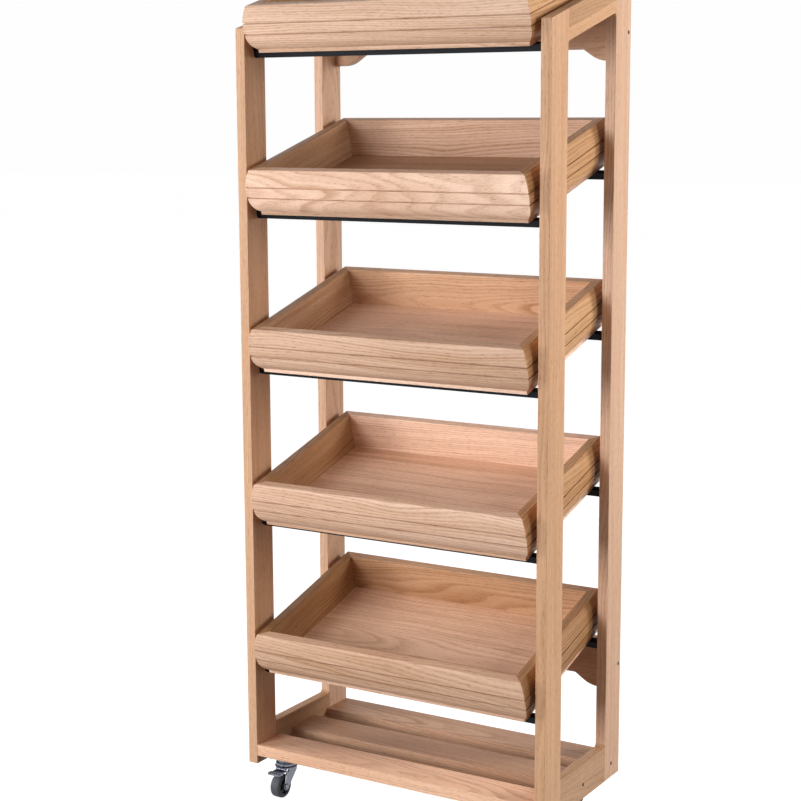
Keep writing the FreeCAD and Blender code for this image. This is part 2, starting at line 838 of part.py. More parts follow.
for item in doc.Objects:
    if "Invalid" in item.State or "Error" in item.State:
        raise RuntimeError(f"{item.Label} failed: {item.State}")
os.makedirs("parts", exist_ok=True)
for piece in pieces:
    shape = piece.Shape
    if shape.isNull() or not shape.isValid():
        raise RuntimeError(f"{piece.Label} has no valid shape")
    shape.exportStep(f"parts/{piece.Label}.step")
print(len(pieces), "pieces written")
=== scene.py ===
# %% [markdown]
# # Bakery bread rack
#
# The real rack is solid oak: two glued side frames joined by two shaped back rails and
# three bottom slats. Five loose trays lie tilted on pairs of steel angles, and the rack
# rolls on four castors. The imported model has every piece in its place, so this lesson gives
# each its finished shape and surface and rides it on the body that carries it.

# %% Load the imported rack
import math
import random
from functools import partial

import bmesh
import bpy
from bmesh.types import BMEdge, BMVert
from mathutils import Matrix, Vector


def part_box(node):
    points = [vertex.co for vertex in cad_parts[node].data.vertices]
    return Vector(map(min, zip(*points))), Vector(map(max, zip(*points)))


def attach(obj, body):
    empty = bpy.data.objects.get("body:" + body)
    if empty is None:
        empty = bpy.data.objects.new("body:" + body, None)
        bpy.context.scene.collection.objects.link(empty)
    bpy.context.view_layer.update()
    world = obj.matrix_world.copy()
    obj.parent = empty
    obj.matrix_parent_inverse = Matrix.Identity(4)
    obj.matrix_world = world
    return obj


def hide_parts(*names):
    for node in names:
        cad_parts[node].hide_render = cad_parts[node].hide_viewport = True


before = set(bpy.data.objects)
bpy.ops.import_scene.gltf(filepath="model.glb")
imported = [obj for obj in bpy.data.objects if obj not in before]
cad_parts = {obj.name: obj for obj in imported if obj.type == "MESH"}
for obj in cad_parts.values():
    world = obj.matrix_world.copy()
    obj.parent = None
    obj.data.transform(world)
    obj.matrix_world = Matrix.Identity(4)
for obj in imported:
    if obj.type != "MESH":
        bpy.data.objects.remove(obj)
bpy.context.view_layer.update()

MM = 0.001
scene = bpy.context.scene

# %% [markdown]
# ## Materials in general
#
# Every finish is a small tree of shader nodes. The helpers keep the trees short to read:
# one feeds a socket, one adds a node, and the rest are steps that the finishes share.

# %% Helpers for shader nodes
def feed(tree, socket, value):
    """Give a socket a plain value, or link another socket to it."""
    if isinstance(value, bpy.types.NodeSocket):
        tree.links.new(value, socket)
    else:
        socket.default_value = value


def add_node(tree, kind, inputs=(), **settings):
    """Add a shader node, set it up and feed its sockets by name or number."""
    node = tree.nodes.new("ShaderNode" + kind)
    for name, value in settings.items():
        setattr(node, name, value)
    for key, value in dict(inputs).items():
        feed(tree, node.inputs[key], value)
    return node


def calc(tree, operation, first, second=0.0, third=0.0, clamp=False):
    """One step of arithmetic on numbers."""
    return add_node(tree, "Math", {0: first, 1: second, 2: third}, operation=operation,
                    use_clamp=clamp).outputs[0]


def vector_calc(tree, operation, first, second):
    """One step of arithmetic on vectors."""
    return add_node(tree, "VectorMath", {0: first, 1: second},
                    operation=operation).outputs[0]


def stretch(tree, vector, factors):
    """Scale a pattern's coordinates differently along each axis."""
    return vector_calc(tree, "MULTIPLY", vector, factors)


def join(tree, *numbers):
    """A vector from up to three numbers."""
    return add_node(tree, "CombineXYZ", dict(enumerate(numbers))).outputs[0]


def chance(tree, *numbers):
    """Random draws that are the same wherever the numbers are the same."""
    return add_node(tree, "TexWhiteNoise", {"Vector": join(tree, *numbers)},
                    noise_dimensions="3D").outputs


def wander(tree, place, pattern, reach):
    """Move a place by a coloured pattern, half of the reach to either side."""
    centred = vector_calc(tree, "SUBTRACT", pattern, (0.5, 0.5, 0.5))
    return vector_calc(tree, "ADD", place, stretch(tree, centred, reach))


def blend(tree, share, first, second, **settings):
    """Go from one colour to another."""
    return add_node(tree, "Mix", {0: share, 6: first, 7: second}, data_type="RGBA",
                    **settings).outputs[2]


def smooth_range(tree, value, low, high):
    """Go softly from 0 at low to 1 at high."""
    node = add_node(tree, "MapRange", {0: value, 1: low, 2: high},
                    interpolation_type="SMOOTHSTEP")
    return node.outputs[0]


def noise(tree, vector, detail=2.0, roughness=0.5):
    """A cloudy pattern in coordinates that are already scaled."""
    return add_node(tree, "TexNoise", {"Vector": vector, "Scale": 1.0, "Detail": detail,
                                       "Roughness": roughness})


def new_group(name, inputs, outputs):
    """Start a node group with named sockets, and return its tree and its two ends."""
    tree = bpy.data.node_groups.new(name, "ShaderNodeTree")
    for label, kind in inputs:
        tree.interface.new_socket(label, in_out="INPUT", socket_type="NodeSocket" + kind)
    for label, kind in outputs:
        tree.interface.new_socket(label, in_out="OUTPUT", socket_type="NodeSocket" + kind)
    start = tree.nodes.new("NodeGroupInput")
    end = tree.nodes.new("NodeGroupOutput")
    return tree, start.outputs, end.inputs


def new_material(name, **plain):
    """A material whose uniform values are set on the shader's own sockets."""
    material = bpy.data.materials.new(name)
    material.use_nodes = True
    tree = material.node_tree
    shader = tree.nodes["Principled BSDF"]
    for label, value in plain.items():
        shader.inputs[label.replace("_", " ").title().replace("Ior", "IOR")
                      ].default_value = value
    return material, tree, shader


def add_bump(tree, shader, height, strength, distance):
    """Let a height pattern tilt the surface."""
    bump = add_node(tree, "Bump", {"Height": height, "Strength": strength,
                                   "Distance": distance})
    tree.links.new(bump.outputs[0], shader.inputs["Normal"])


# %% [markdown]
# ## Oak
#
# Oak grows in rings about the pith, and a board is a cut through them, so the figure on its
# faces, straight lines or pointed arches, follows from where the pith lay. The shader copies
# this: it measures the distance from the pith in the board's own coordinates, divides it
# into rings and darkens the porous start of each. Slow noise bends the rings, fine noise
# draws fibres and pores along the board, and a few cells hold a knot. A solid texture is the
# right way, because end grain, edges and faces then agree by themselves, as in real wood.

# %% The oak node group
# each pattern's cells are counted per metre along, across and deep in the board
RING_WIDTH = 4.2 * MM
STAVE_SHIFT = (6.0, 0.02, 0.05)
KNOT_CELLS = (3.4, 13.0, 5.0)
KNOT_RARITY = 0.87
KNOT_BEND = 0.011
SLOW_CELLS = (2.6, 11.0, 11.0)
RING_WANDER = (0.0, 0.028, 0.028)
STREAK_CELLS = (2.2, 120.0, 0.37)
CLOUD_CELLS = (1.5, 9.0, 9.0)
FIBRE_CELLS = (16.0, 620.0, 620.0)
PORE_CELLS = (65.0, 1300.0, 1300.0)
SEAM_EDGE = 0.4935


def oak_figure():
    """Colour, roughness and height of oak, from a board's own coordinates."""
    tree, given, out = new_group(
        "oak figure",
        (("Grain", "Vector"), ("Board", "Vector"), ("Stave", "Float"), ("Stain", "Float"),
         ("Pale", "Color"), ("Brown", "Color"), ("Dark", "Color")),
        (("Color", "Color"), ("Roughness", "Float"), ("Height", "Float")))
    plus, less, times = (partial(calc, tree, sign)
                         for sign in ("ADD", "SUBTRACT", "MULTIPLY"))
    tone, warmth, seed = add_node(tree, "SeparateXYZ", {0: given["Board"]}).outputs
    # the same number at every vertex can still differ in its last digit, so it is rounded
    seed = calc(tree, "ROUND", seed)

    # each glued stave is a board of its own, cut from another place in the tree
    number = calc(tree, "FLOOR", given["Stave"])
    luck = chance(tree, number, seed)
    moved = wander(tree, given["Grain"], luck["Color"], STAVE_SHIFT)

    # knots: a few cells, longer along the board, with the rings bent about them
    cells = add_node(tree, "TexVoronoi", {"Vector": stretch(tree, moved, KNOT_CELLS),
                                          "Scale": 1.0, "Randomness": 1.0}).outputs
    pick = add_node(tree, "SeparateColor", {0: cells["Color"]}).outputs[0]
    chosen = calc(tree, "GREATER_THAN", pick, KNOT_RARITY)
    around = less(1.0, smooth_range(tree, cells["Distance"], 0.05, 0.42))
    heart = less(1.0, smooth_range(tree, cells["Distance"], 0.05, 0.12))
    knot = times(heart, chosen)

    # growth rings about the pith, bent by slow noise
    slow = noise(tree, stretch(tree, moved, SLOW_CELLS), 2.0, 0.45)
    bent = wander(tree, moved, slow.outputs["Color"], RING_WANDER)
    flat = stretch(tree, bent, (0.0, 1.0, 1.0))
    radius = add_node(tree, "VectorMath", {0: flat}, operation="LENGTH").outputs["Value"]
    radius = plus(radius, times(times(around, chosen), KNOT_BEND))
    rings = calc(tree, "DIVIDE", radius, RING_WIDTH)
    phase = calc(tree, "FRACT", rings)
    year = chance(tree, calc(tree, "FLOOR", rings), seed, number)
    strength = calc(tree, "POWER", year["Value"], 1.6)
    early = times(smooth_range(tree, phase, 0.0, 0.14),
                  less(1.0, smooth_range(tree, phase, 0.18, 0.75)))
    line = times(early, calc(tree, "MULTIPLY_ADD", strength, 0.85, 0.5))

    # streaks of colour that run with the rings, then fibres and pores
    run = add_node(tree, "SeparateXYZ", {0: bent}).outputs[0]
    along_ring = stretch(tree, join(tree, run, radius, seed), STREAK_CELLS)
    streak = noise(tree, along_ring, 3.0, 0.6).outputs[0]
    cloud = noise(tree, stretch(tree, moved, CLOUD_CELLS), 1.0).outputs[0]
    fibre = noise(tree, stretch(tree, bent, FIBRE_CELLS), 3.0, 0.6).outputs[0]
    dashes = noise(tree, stretch(tree, bent, PORE_CELLS), 1.0).outputs[0]
    pores = times(smooth_range(tree, dashes, 0.56, 0.68),
                  calc(tree, "MULTIPLY_ADD", early, 0.7, 0.5))

    # how brown each point is; only a board of several staves has lots that differ
    glued = calc(tree, "MINIMUM", calc(tree, "ABSOLUTE", number), 1.0)
    lot = times(less(luck["Value"], 0.5), glued)
    share = calc(tree, "MULTIPLY_ADD", less(streak, 0.5), 1.25, 0.42)
    for part, weight in ((line, 0.36), (less(cloud, 0.5), 0.75), (less(fibre, 0.5), 0.5),
                         (lot, 0.45), (tone, -0.2)):
        share = plus(share, times(part, weight))
    share = calc(tree, "MAXIMUM", calc(tree, "MINIMUM", share, 1.25), 0.0)
    wood = blend(tree, share, given["Pale"], given["Brown"], clamp_factor=False)

    # pores, knots and glue lines are dark, and so is the painted shade on tray rims and in
    # quirks; warmth and tone then tint the whole board
    off_middle = less(calc(tree, "FRACT", given["Stave"]), 0.5)
    seam = calc(tree, "GREATER_THAN", calc(tree, "ABSOLUTE", off_middle), SEAM_EDGE)
    deep = plus(times(pores, 0.45), plus(times(knot, 0.75), times(seam, 0.4)))
    # painted shade on tray rims and in quirks deepens the dark share here
    deep = plus(deep, given["Stain"], clamp=True)
    wood = blend(tree, deep, wood, given["Dark"])
    tint = blend(tree, warmth, (1.03, 0.985, 1.02, 1.0), (1.0, 0.80, 0.55, 1.0))
    wood = blend(tree, 1.0, wood, tint, blend_type="MULTIPLY")
    shade = calc(tree, "MULTIPLY_ADD", tone, 0.3, 1.0)
    wood = add_node(tree, "VectorMath", {0: wood, "Scale": shade}, operation="SCALE")
    feed(tree, out["Color"], wood.outputs[0])
    rough = plus(times(pores, 0.25), times(fibre, 0.22))
    feed(tree, out["Roughness"], plus(rough, 0.36))
    relief = less(times(fibre, 0.35), plus(pores, times(line, 0.3)))
    feed(tree, out["Height"], less(relief, knot))
    return tree


OAK_FIGURE = oak_figure()
print("oak figure:", len(OAK_FIGURE.nodes), "nodes")

# %% The oak materials
def oak(name, pale, brown, dark):
    """Oiled oak in a board's own coordinates."""
    material, tree, shader = new_material(name, specular_ior_level=0.25)
    group = add_node(tree, "Group", node_tree=OAK_FIGURE)
    for label, source in (("Grain", "Vector"), ("Board", "Vector"), ("Stave", "Fac"),
                          ("Stain", "Fac")):
        attribute = add_node(tree, "Attribute", attribute_name=label.lower())
        tree.links.new(attribute.outputs[source], group.inputs[label])
    for label, colour in (("Pale", pale), ("Brown", brown), ("Dark", dark)):
        group.inputs[label].default_value = (*colour, 1.0)
    tree.links.new(group.outputs["Color"], shader.inputs["Base Color"])
    tree.links.new(group.outputs["Roughness"], shader.inputs["Roughness"])
    add_bump(tree, shader, group.outputs["Height"], 0.35, 0.25 * MM)
    return material


OAK_FRAME = oak("oak_frame", (0.76, 0.54, 0.385), (0.54, 0.33, 0.20), (0.20, 0.095, 0.045))
OAK_TRAY = oak("oak_tray", (0.83, 0.62, 0.47), (0.50, 0.30, 0.175), (0.18, 0.08, 0.036))
OAK_SLAT = oak("oak_slat", (0.77, 0.53, 0.375), (0.46, 0.265, 0.155), (0.17, 0.08, 0.04))

# %% [markdown]
# ## Steel, zinc, rubber and beech
#
# The angles are powder coated: black, satin and very slightly pebbled. Castors and small
# screws are zinc plated, a bluish metal whose brightness wanders a little. The wheels have
# a grey rubber tread on a dark plastic centre. The dowels are turned beech.

# %% The other materials
def metal_like(name, colour, roughness, metallic, cloud_size, bump, shine=0.5):
    """A finish whose colour and gloss vary a little from place to place."""
    material, tree, shader = new_material(name, metallic=metallic, specular_ior_level=shine)
    place = add_node(tree, "TexCoord").outputs["Object"]
    cloud = noise(tree, stretch(tree, place, (1 / cloud_size,) * 3), 4.0, 0.6).outputs[0]
    grit = noise(tree, stretch(tree, place, (1800.0,) * 3), 2.0).outputs[0]
    dim, bright = ((*(part * level for part in colour), 1.0) for level in (0.72, 1.28))
    feed(tree, shader.inputs["Base Color"], blend(tree, cloud, dim, bright))
    gloss = calc(tree, "MULTIPLY_ADD", cloud, 0.3, roughness - 0.15)
    feed(tree, shader.inputs["Roughness"], gloss)
    add_bump(tree, shader, grit, bump, 0.1 * MM)
    return material


BLACK_STEEL = metal_like("black_steel", (0.006, 0.0065, 0.010), 0.45, 0.0, 0.02, 0.25, 0.12)
BLACK_SCREW = metal_like("black_screw", (0.008, 0.007, 0.007), 0.4, 0.0, 0.004, 0.1, 0.2)
ZINC_STEEL = metal_like("zinc_steel", (0.19, 0.20, 0.24), 0.28, 1.0, 0.009, 0.12)
GREY_TREAD = metal_like("grey_tread", (0.075, 0.078, 0.094), 0.62, 0.0, 0.006, 0.3, 0.3)
WHEEL_CORE = metal_like("wheel_core", (0.03, 0.03, 0.036), 0.45, 0.0, 0.01, 0.15, 0.3)
BEECH = metal_like("beech", (0.62, 0.42, 0.26), 0.55, 0.0, 0.003, 0.3)
print("materials:", [material.name for material in bpy.data.materials])

# %% [markdown]
# ## From a mesh to a piece
#
# Each piece starts as a bmesh in metres, in the rack's own frame. Sharp arrises look false,
# because a workshop always eases them, so every solid gets a small bevel. The weighted
# normals keep the flat faces flat while the bevels shade round.

# %% Helpers for pieces
SHARP = 38


def mm(*numbers):
    """A place or a size given in millimetres."""
    return tuple(number * MM for number in numbers)


def shift(*way):
    """A straight move along X, Y and Z."""
    return Matrix.Translation(way)


def turn(degrees, axis):
    """A turn about an axis through the origin."""
    return Matrix.Rotation(math.radians(degrees), 4, axis)


def only(kind, geometry):
    """The vertices or the edges among what a bmesh operator returns."""
    return [item for item in geometry if isinstance(item, kind)]


def to_object(bm, name):
    """Turn a bmesh into an object of the scene."""
    mesh = bpy.data.meshes.new(name)
    bm.to_mesh(mesh)
    bm.free()
    made = bpy.data.objects.new(name, mesh)
    scene.collection.objects.link(made)
    return made


def finish_piece(bm, name, body, material, nodes=()):
    """Turn a bmesh into a piece that rides on a body and stands for the given nodes."""
    bmesh.ops.recalc_face_normals(bm, faces=bm.faces)
    piece = to_object(bm, name)
    piece.data.materials.append(material)
    piece.data.shade_smooth()
    piece.data.set_sharp_from_angle(angle=math.radians(SHARP))
    normals = piece.modifiers.new("weighted normals", "WEIGHTED_NORMAL")
    normals.keep_sharp = True
    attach(piece, body)
    if nodes:
        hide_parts(*nodes)
    return piece


def ease(bm, edges, width, segments=2):
    """Round edges over, as sandpaper or a router bit does."""
    bmesh.ops.bevel(bm, geom=edges, offset=width, offset_type="OFFSET", segments=segments,
                    profile=0.5, material=-1, affect="EDGES", loop_slide=False,
                    clamp_overlap=True)


def arrises(bm, least=40):
    """The edges where two faces meet at a clear angle."""
    return [edge for edge in bm.edges
            if edge.is_manifold and edge.calc_face_angle() > math.radians(least)]


def block(low, high):
    """A plain box between two corners, to be worked on."""
    bm = bmesh.new()
    bmesh.ops.create_cube(bm, size=1)
    bmesh.ops.scale(bm, vec=Vector(high) - Vector(low), verts=bm.verts)
    bmesh.ops.translate(bm, vec=(Vector(low) + Vector(high)) / 2, verts=bm.verts)
    return bm


def draw(bm, moves, facet=9.0):
    """Draw a closed line in the YZ plane. A move is (y, z) for a straight line to that
    point, or (y, z, degrees) for a turn about that point."""
    before = set(bm.edges)
    first = pen = bm.verts.new((0, *moves[0]))
    for move in moves[1:]:
        if len(move) == 2:
            spot = bm.verts.new((0, *move))
            bm.edges.new((pen, spot))
            pen = spot
            continue
        y, z, degrees = move
        swept = bmesh.ops.spin(
            bm, geom=[pen], cent=(0, y, z), axis=(1, 0, 0), dvec=(0, 0, 0),
            angle=math.radians(degrees), steps=max(2, round(abs(degrees) / facet)))
        pen = only(BMVert, swept["geom_last"])[0]
    if (pen.co - first.co).length < 1e-7:
        bmesh.ops.pointmerge(bm, verts=[pen, first], merge_co=first.co)
    else:
        bm.edges.new((pen, first))
    return [edge for edge in bm.edges if edge not in before]


def thicken(bm, low, high):
    """Give the flat shape drawn at X = 0 its thickness between two places on X."""
    bmesh.ops.translate(bm, vec=(low, 0, 0), verts=bm.verts)
    grown = bmesh.ops.extrude_face_region(bm, geom=bm.faces[:])
    bmesh.ops.translate(bm, vec=(high - low, 0, 0), verts=only(BMVert, grown["geom"]))
    bmesh.ops.recalc_face_normals(bm, faces=bm.faces)


def plate(moves, low, high, facet=9.0):
    """A flat shape in the YZ plane, thick from low to high on X."""
    bm = bmesh.new()
    bmesh.ops.edgeloop_fill(bm, edges=draw(bm, moves, facet))
    thicken(bm, low, high)
    return bm


def stamp(target, source, matrix=Matrix()):
    """Add a copy of one bmesh to another, moved by a matrix."""
    mesh = bpy.data.meshes.new("stamp")
    source.to_mesh(mesh)
    mesh.transform(matrix)
    target.from_mesh(mesh)
    bpy.data.meshes.remove(mesh)
    return target


def cut(board, tool):
    """Cut one closed bmesh out of another with the Boolean modifier."""
    solids = [to_object(bm, "cutting") for bm in (board, tool)]
    modifier = solids[0].modifiers.new("cut", "BOOLEAN")
    modifier.object = solids[1]
    modifier.operation = "DIFFERENCE"
    modifier.solver = "EXACT"
    result = bmesh.new()
    result.from_object(solids[0], bpy.context.evaluated_depsgraph_get())
    for solid in solids:
        mesh = solid.data
        bpy.data.objects.remove(solid)
        bpy.data.meshes.remove(mesh)
    return result


def saw(bm, place, direction):
    """Cut a solid with a plane, drop what lies beyond it and close the cut."""
    everything = bm.verts[:] + bm.edges[:] + bm.faces[:]
    made = bmesh.ops.bisect_plane(bm, geom=everything, dist=1e-7, plane_co=place,
                                  plane_no=direction, clear_outer=True)
    bmesh.ops.edgeloop_fill(bm, edges=only(BMEdge, made["geom_cut"]))
    return bm


def pillar(radius, low, high, sides=32):
    """A round bar along X between two places."""
    bm = bmesh.new()
    bmesh.ops.create_cone(bm, cap_ends=True, segments=sides, radius1=radius, radius2=radius,
                          depth=high - low,
                          matrix=shift((low + high) / 2, 0, 0) @ turn(90, "Y"))
    return bm


# %% [markdown]
# The oak shader asks each board for three attributes: where a point lies along, across and
# deep in the board, counted from the pith; the board's tone, warmth and seed; and which
# glued stave the point is in. They are written per vertex, so they travel with the piece
# when it moves. A pattern in world space would slide through the wood.

# %% Lay the grain of a board
def axes(along, across, origin):
    """A board's own frame: X along the grain, Y across its face, Z deep."""
    along = Vector(along).normalized()
    across = Vector(across).normalized()
    turned = Matrix((along, across, along.cross(across))).transposed().to_4x4()
    return Matrix.Translation(origin) @ turned


def lay_grain(piece, board, pith, climb, tone, warmth, stave=0.0, seam=0.0):
    """Write the attributes of the oak. The pith is (across, deep) in millimetres, and climb
    is how fast it leaves the face along the board. Glued staves have a width, counted from
    one seam."""
    random.seed(f"{piece.name} {stave:.4f}")
    seed = random.randrange(500)
    start = random.uniform(0, 20)
    mesh = piece.data
    for label, kind in (("grain", "FLOAT_VECTOR"), ("board", "FLOAT_VECTOR"),
                        ("stave", "FLOAT")):
        mesh.attributes.new(label, kind, "POINT")
    grain, kind, strip = (mesh.attributes[label].data
                          for label in ("grain", "board", "stave"))
    to_board = board.inverted()
    for number, vertex in enumerate(mesh.vertices):
        along, across, deep = to_board @ vertex.co
        away = pith[1] * MM + climb * along
        grain[number].vector = (along + start, across + pith[0] * MM, deep + away)
        kind[number].vector = (tone, warmth, seed)
        strip[number].value = (across - seam) / stave if stave else 0.5
    return piece


# %% [markdown]
# ## Side frames
#
# Each side frame is two legs, a sloping top rail and a bottom rail, dowelled and glued. The
# maker routs the inner opening after gluing, so its rounding runs unbroken over the joints.
# The scene keeps that order: the whole frame is drawn and eased as one ring, its screw seats
# are bored, and only then is it sawn at the joints into its boards, each with its own grain.
# The top rail is two staves, the browner one on top, so it is sawn once more at its seam.

# %% Sizes of the side frames
TILT = math.radians(16)
SLOPE = math.tan(TILT)
CORNER = 7 * MM
TOP_RAIL = 57 * MM
BOTTOM_RAIL = 74 * MM
FOOT_LOW, FRONT_LEG_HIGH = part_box("right_front_leg")
REAR_LEG_LOW, REAR_LEG_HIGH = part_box("right_rear_leg")
FRONT_PLANE, FRONT_JOINT = FOOT_LOW.y, FRONT_LEG_HIGH.y
REAR_JOINT, BACK_PLANE = REAR_LEG_LOW.y, REAR_LEG_HIGH.y
FOOT, RACK_HEIGHT = FOOT_LOW.z, REAR_LEG_HIGH.z
INNER_FACE, OUTER_FACE = FOOT_LOW.x, FRONT_LEG_HIGH.x
SCREW_SEAT = 4.1 * MM
SCREW_SEAT_DEPTH = 3 * MM
NEAR = 5 * MM
FULL_DEPTH = 300 * MM
print("opening of a side frame:", round((REAR_JOINT - FRONT_JOINT) / MM, 1), "mm wide")


# %% The ring of a side frame
def slope_height(y):
    """Height of the sloping top edge at a depth."""
    return RACK_HEIGHT - (BACK_PLANE - y) * SLOPE


def side_ring():
    """A whole side frame, eased, lying between X = 0 and its thickness."""
    bottom = FOOT + BOTTOM_RAIL
    front_turn = FRONT_JOINT + CORNER
    rear_turn = REAR_JOINT - CORNER
    drop = (TOP_RAIL + CORNER) / math.cos(TILT)
    front_high = slope_height(front_turn) - drop
    rear_high = slope_height(rear_turn) - drop
    lean = Vector((-math.sin(TILT), math.cos(TILT))) * CORNER
    bm = bmesh.new()
    edges = draw(bm, [(FRONT_PLANE, FOOT), (BACK_PLANE, FOOT), (BACK_PLANE, RACK_HEIGHT),
                      (FRONT_PLANE, slope_height(FRONT_PLANE))])
    edges += draw(bm, [
        (FRONT_JOINT, bottom + CORNER), (front_turn, bottom + CORNER, 90),
        (rear_turn, bottom), (rear_turn, bottom + CORNER, 90),
        (REAR_JOINT, rear_high), (rear_turn, rear_high, 90 + math.degrees(TILT)),
        (front_turn + lean.x, front_high + lean.y),
        (front_turn, front_high, 90 - math.degrees(TILT)),
    ])
    bmesh.ops.triangle_fill(bm, use_beauty=True, use_dissolve=False, edges=edges)
    thicken(bm, 0, OUTER_FACE - INNER_FACE)
    slack = 0.01 * MM
    inner = [edge for edge in arrises(bm)
             if all(FRONT_JOINT - slack < v.co.y < REAR_JOINT + slack for v in edge.verts)]
    ease(bm, inner, 1.6 * MM, 3)
    outer = [edge for edge in arrises(bm)
             if not any(FRONT_JOINT - NEAR < v.co.y < REAR_JOINT + NEAR for v in edge.verts)
             or abs(edge.verts[0].co.y - edge.verts[1].co.y) > FULL_DEPTH]
    ease(bm, outer, 1.4 * MM, 2)
    return bm


# %% Where the long screws go
def middle(node):
    """The middle of a CAD node's box."""
    low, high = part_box(node)
    return (low + high) / 2


SCREWED = ("front_slat", "middle_slat", "rear_slat", "upper_back_rail", "lower_back_rail")
SCREW_PLACES = [(middle(node).y, middle(node).z) for node in SCREWED]
print("screws in each side frame:", len(SCREW_PLACES))

# %% Bore, saw and place the boards
LEG = ((0, 0, 1), (0, 1, 0))
LEVEL = ((0, 1, 0), (0, 0, 1))
RAIL_ACROSS = (0, -math.sin(TILT), math.cos(TILT))
SLOPED = ((0, math.cos(TILT), math.sin(TILT)), RAIL_ACROSS)
JOINT_GAP = 0.05 * MM
RAIL_SEAM = -3 * MM

# each board: the way it runs, its pith in millimetres, the climb, tone and warmth
SIDE_BOARDS = {
    "left_front_leg": (LEG, (75, 55), 0.02, 0.0, 0.45),
    "left_rear_leg": (LEG, (20, 90), 0.03, -0.15, 0.1),
    "left_top_rail_upper": (SLOPED, (60, 40), 0.03, -0.1, 0.4),
    "left_top_rail_lower": (SLOPED, (90, 60), 0.02, 0.2, 0.3),
    "left_bottom_rail": (LEVEL, (60, 40), 0.03, -0.7, 0.5),
    "right_front_leg": (LEG, (120, 30), 0.02, 0.0, 0.6),
    "right_rear_leg": (LEG, (95, 60), 0.03, 0.1, 0.1),
    "right_top_rail_upper": (SLOPED, (15, 45), 0.05, -0.7, 0.8),
    "right_top_rail_lower": (SLOPED, (80, 60), 0.02, -0.05, 0.7),
    "right_bottom_rail": (LEVEL, (45, 60), 0.04, -0.6, 0.55),
}


def part_of_ring(ring, name):
    """Saw one board out of a side frame."""
    bm = ring.copy()
    half = JOINT_GAP / 2
    if "front_leg" in name:
        return saw(bm, (0, FRONT_JOINT + half, 0), (0, 1, 0))
    if "rear_leg" in name:
        return saw(bm, (0, REAR_JOINT - half, 0), (0, -1, 0))
    saw(bm, (0, REAR_JOINT - half - JOINT_GAP, 0), (0, 1, 0))
    saw(bm, (0, FRONT_JOINT + half + JOINT_GAP, 0), (0, -1, 0))
    halfway = (FOOT + RACK_HEIGHT) / 2
    wrong = [v for v in bm.verts if (v.co.z > halfway) == ("bottom" in name)]
    bmesh.ops.delete(bm, geom=wrong, context="VERTS")
    if "bottom" in name:
        return bm
    seam = middle("right_top_rail") + Vector(RAIL_ACROSS) * RAIL_SEAM
    side = 1 if "lower" in name else -1
    return saw(bm, (0, seam.y, seam.z), Vector(RAIL_ACROSS) * side)


def side_frame(side_name, side):
    """Four boards of one side frame."""
    ring = side_ring()
    far = OUTER_FACE if side > 0 else -INNER_FACE
    ring.transform(shift(far - (OUTER_FACE - INNER_FACE), 0, 0))
    seats = bmesh.new()
    start, end = sorted((side * (OUTER_FACE - SCREW_SEAT_DEPTH), side * (OUTER_FACE + MM)))
    tool = pillar(SCREW_SEAT, start, end)
    for depth, height in SCREW_PLACES:
        stamp(seats, tool, shift(0, depth, height))
    ring = cut(ring, seats)
    for name in (name for name in SIDE_BOARDS if name.startswith(side_name)):
        way, *figure = SIDE_BOARDS[name]
        node = name.replace("_upper", "").replace("_lower", "")
        piece = finish_piece(part_of_ring(ring, name), "oak_" + name, "frame",
                             OAK_FRAME, [node])
        lay_grain(piece, axes(*way, middle(node)), *figure)
        print(name, len(piece.data.polygons), "faces")
    ring.free()


side_frame("left", -1)
side_frame("right", 1)

# %% [markdown]
# ## Back rails and bottom slats
#
# The back rails are bandsawn: their lower edge drops in a soft slope to a deeper ear at
# each end, where the screws hold. A tight turn of the pen, a straight line and a wide turn
# draw each slope. The slats are plain planed boards, so a box with eased arrises is already
# the real shape.

# %% The back rails
EAR_DEPTH = 23 * MM
EAR_GROWTH = 4 * MM
EAR_LENGTH = 18 * MM
EAR_TURN = 34
EAR_ROUND = 60 * MM
NECK_ROUND = 5 * MM


def back_rail(name, pith, tone):
    """A shaped rail, drawn flat and then turned to face the front."""
    low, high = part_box(name)
    angle = math.radians(EAR_TURN)
    reach, drop = math.sin(angle), 1 - math.cos(angle)
    rounds = EAR_ROUND + NECK_ROUND
    foot = low.z - EAR_GROWTH
    hollow = foot + EAR_DEPTH
    ear = high.x - EAR_LENGTH
    neck = ear - rounds * reach - (EAR_DEPTH - rounds * drop) / math.tan(angle)
    bm = plate([
        (low.x, foot),
        (-ear, foot), (-ear, foot + EAR_ROUND, EAR_TURN),
        (-neck - NECK_ROUND * reach, hollow - NECK_ROUND * drop),
        (-neck, hollow - NECK_ROUND, -EAR_TURN),
        (neck, hollow), (neck, hollow - NECK_ROUND, -EAR_TURN),
        (ear - EAR_ROUND * reach, foot + EAR_ROUND * drop),
        (ear, foot + EAR_ROUND, EAR_TURN),
        (high.x, foot), (high.x, high.z), (low.x, high.z),
    ], low.y, high.y)
    ease(bm, arrises(bm), 1.5 * MM)
    bm.transform(shift(0, low.y + high.y, 0) @ turn(-90, "Z"))
    piece = finish_piece(bm, "oak_" + name, "frame", OAK_FRAME, [name])
    return lay_grain(piece, axes((1, 0, 0), (0, 0, 1), middle(name)), pith, 0.02, tone, 0.3)


back_rail("upper_back_rail", (10, 70), -0.1)
back_rail("lower_back_rail", (90, 40), -0.1)

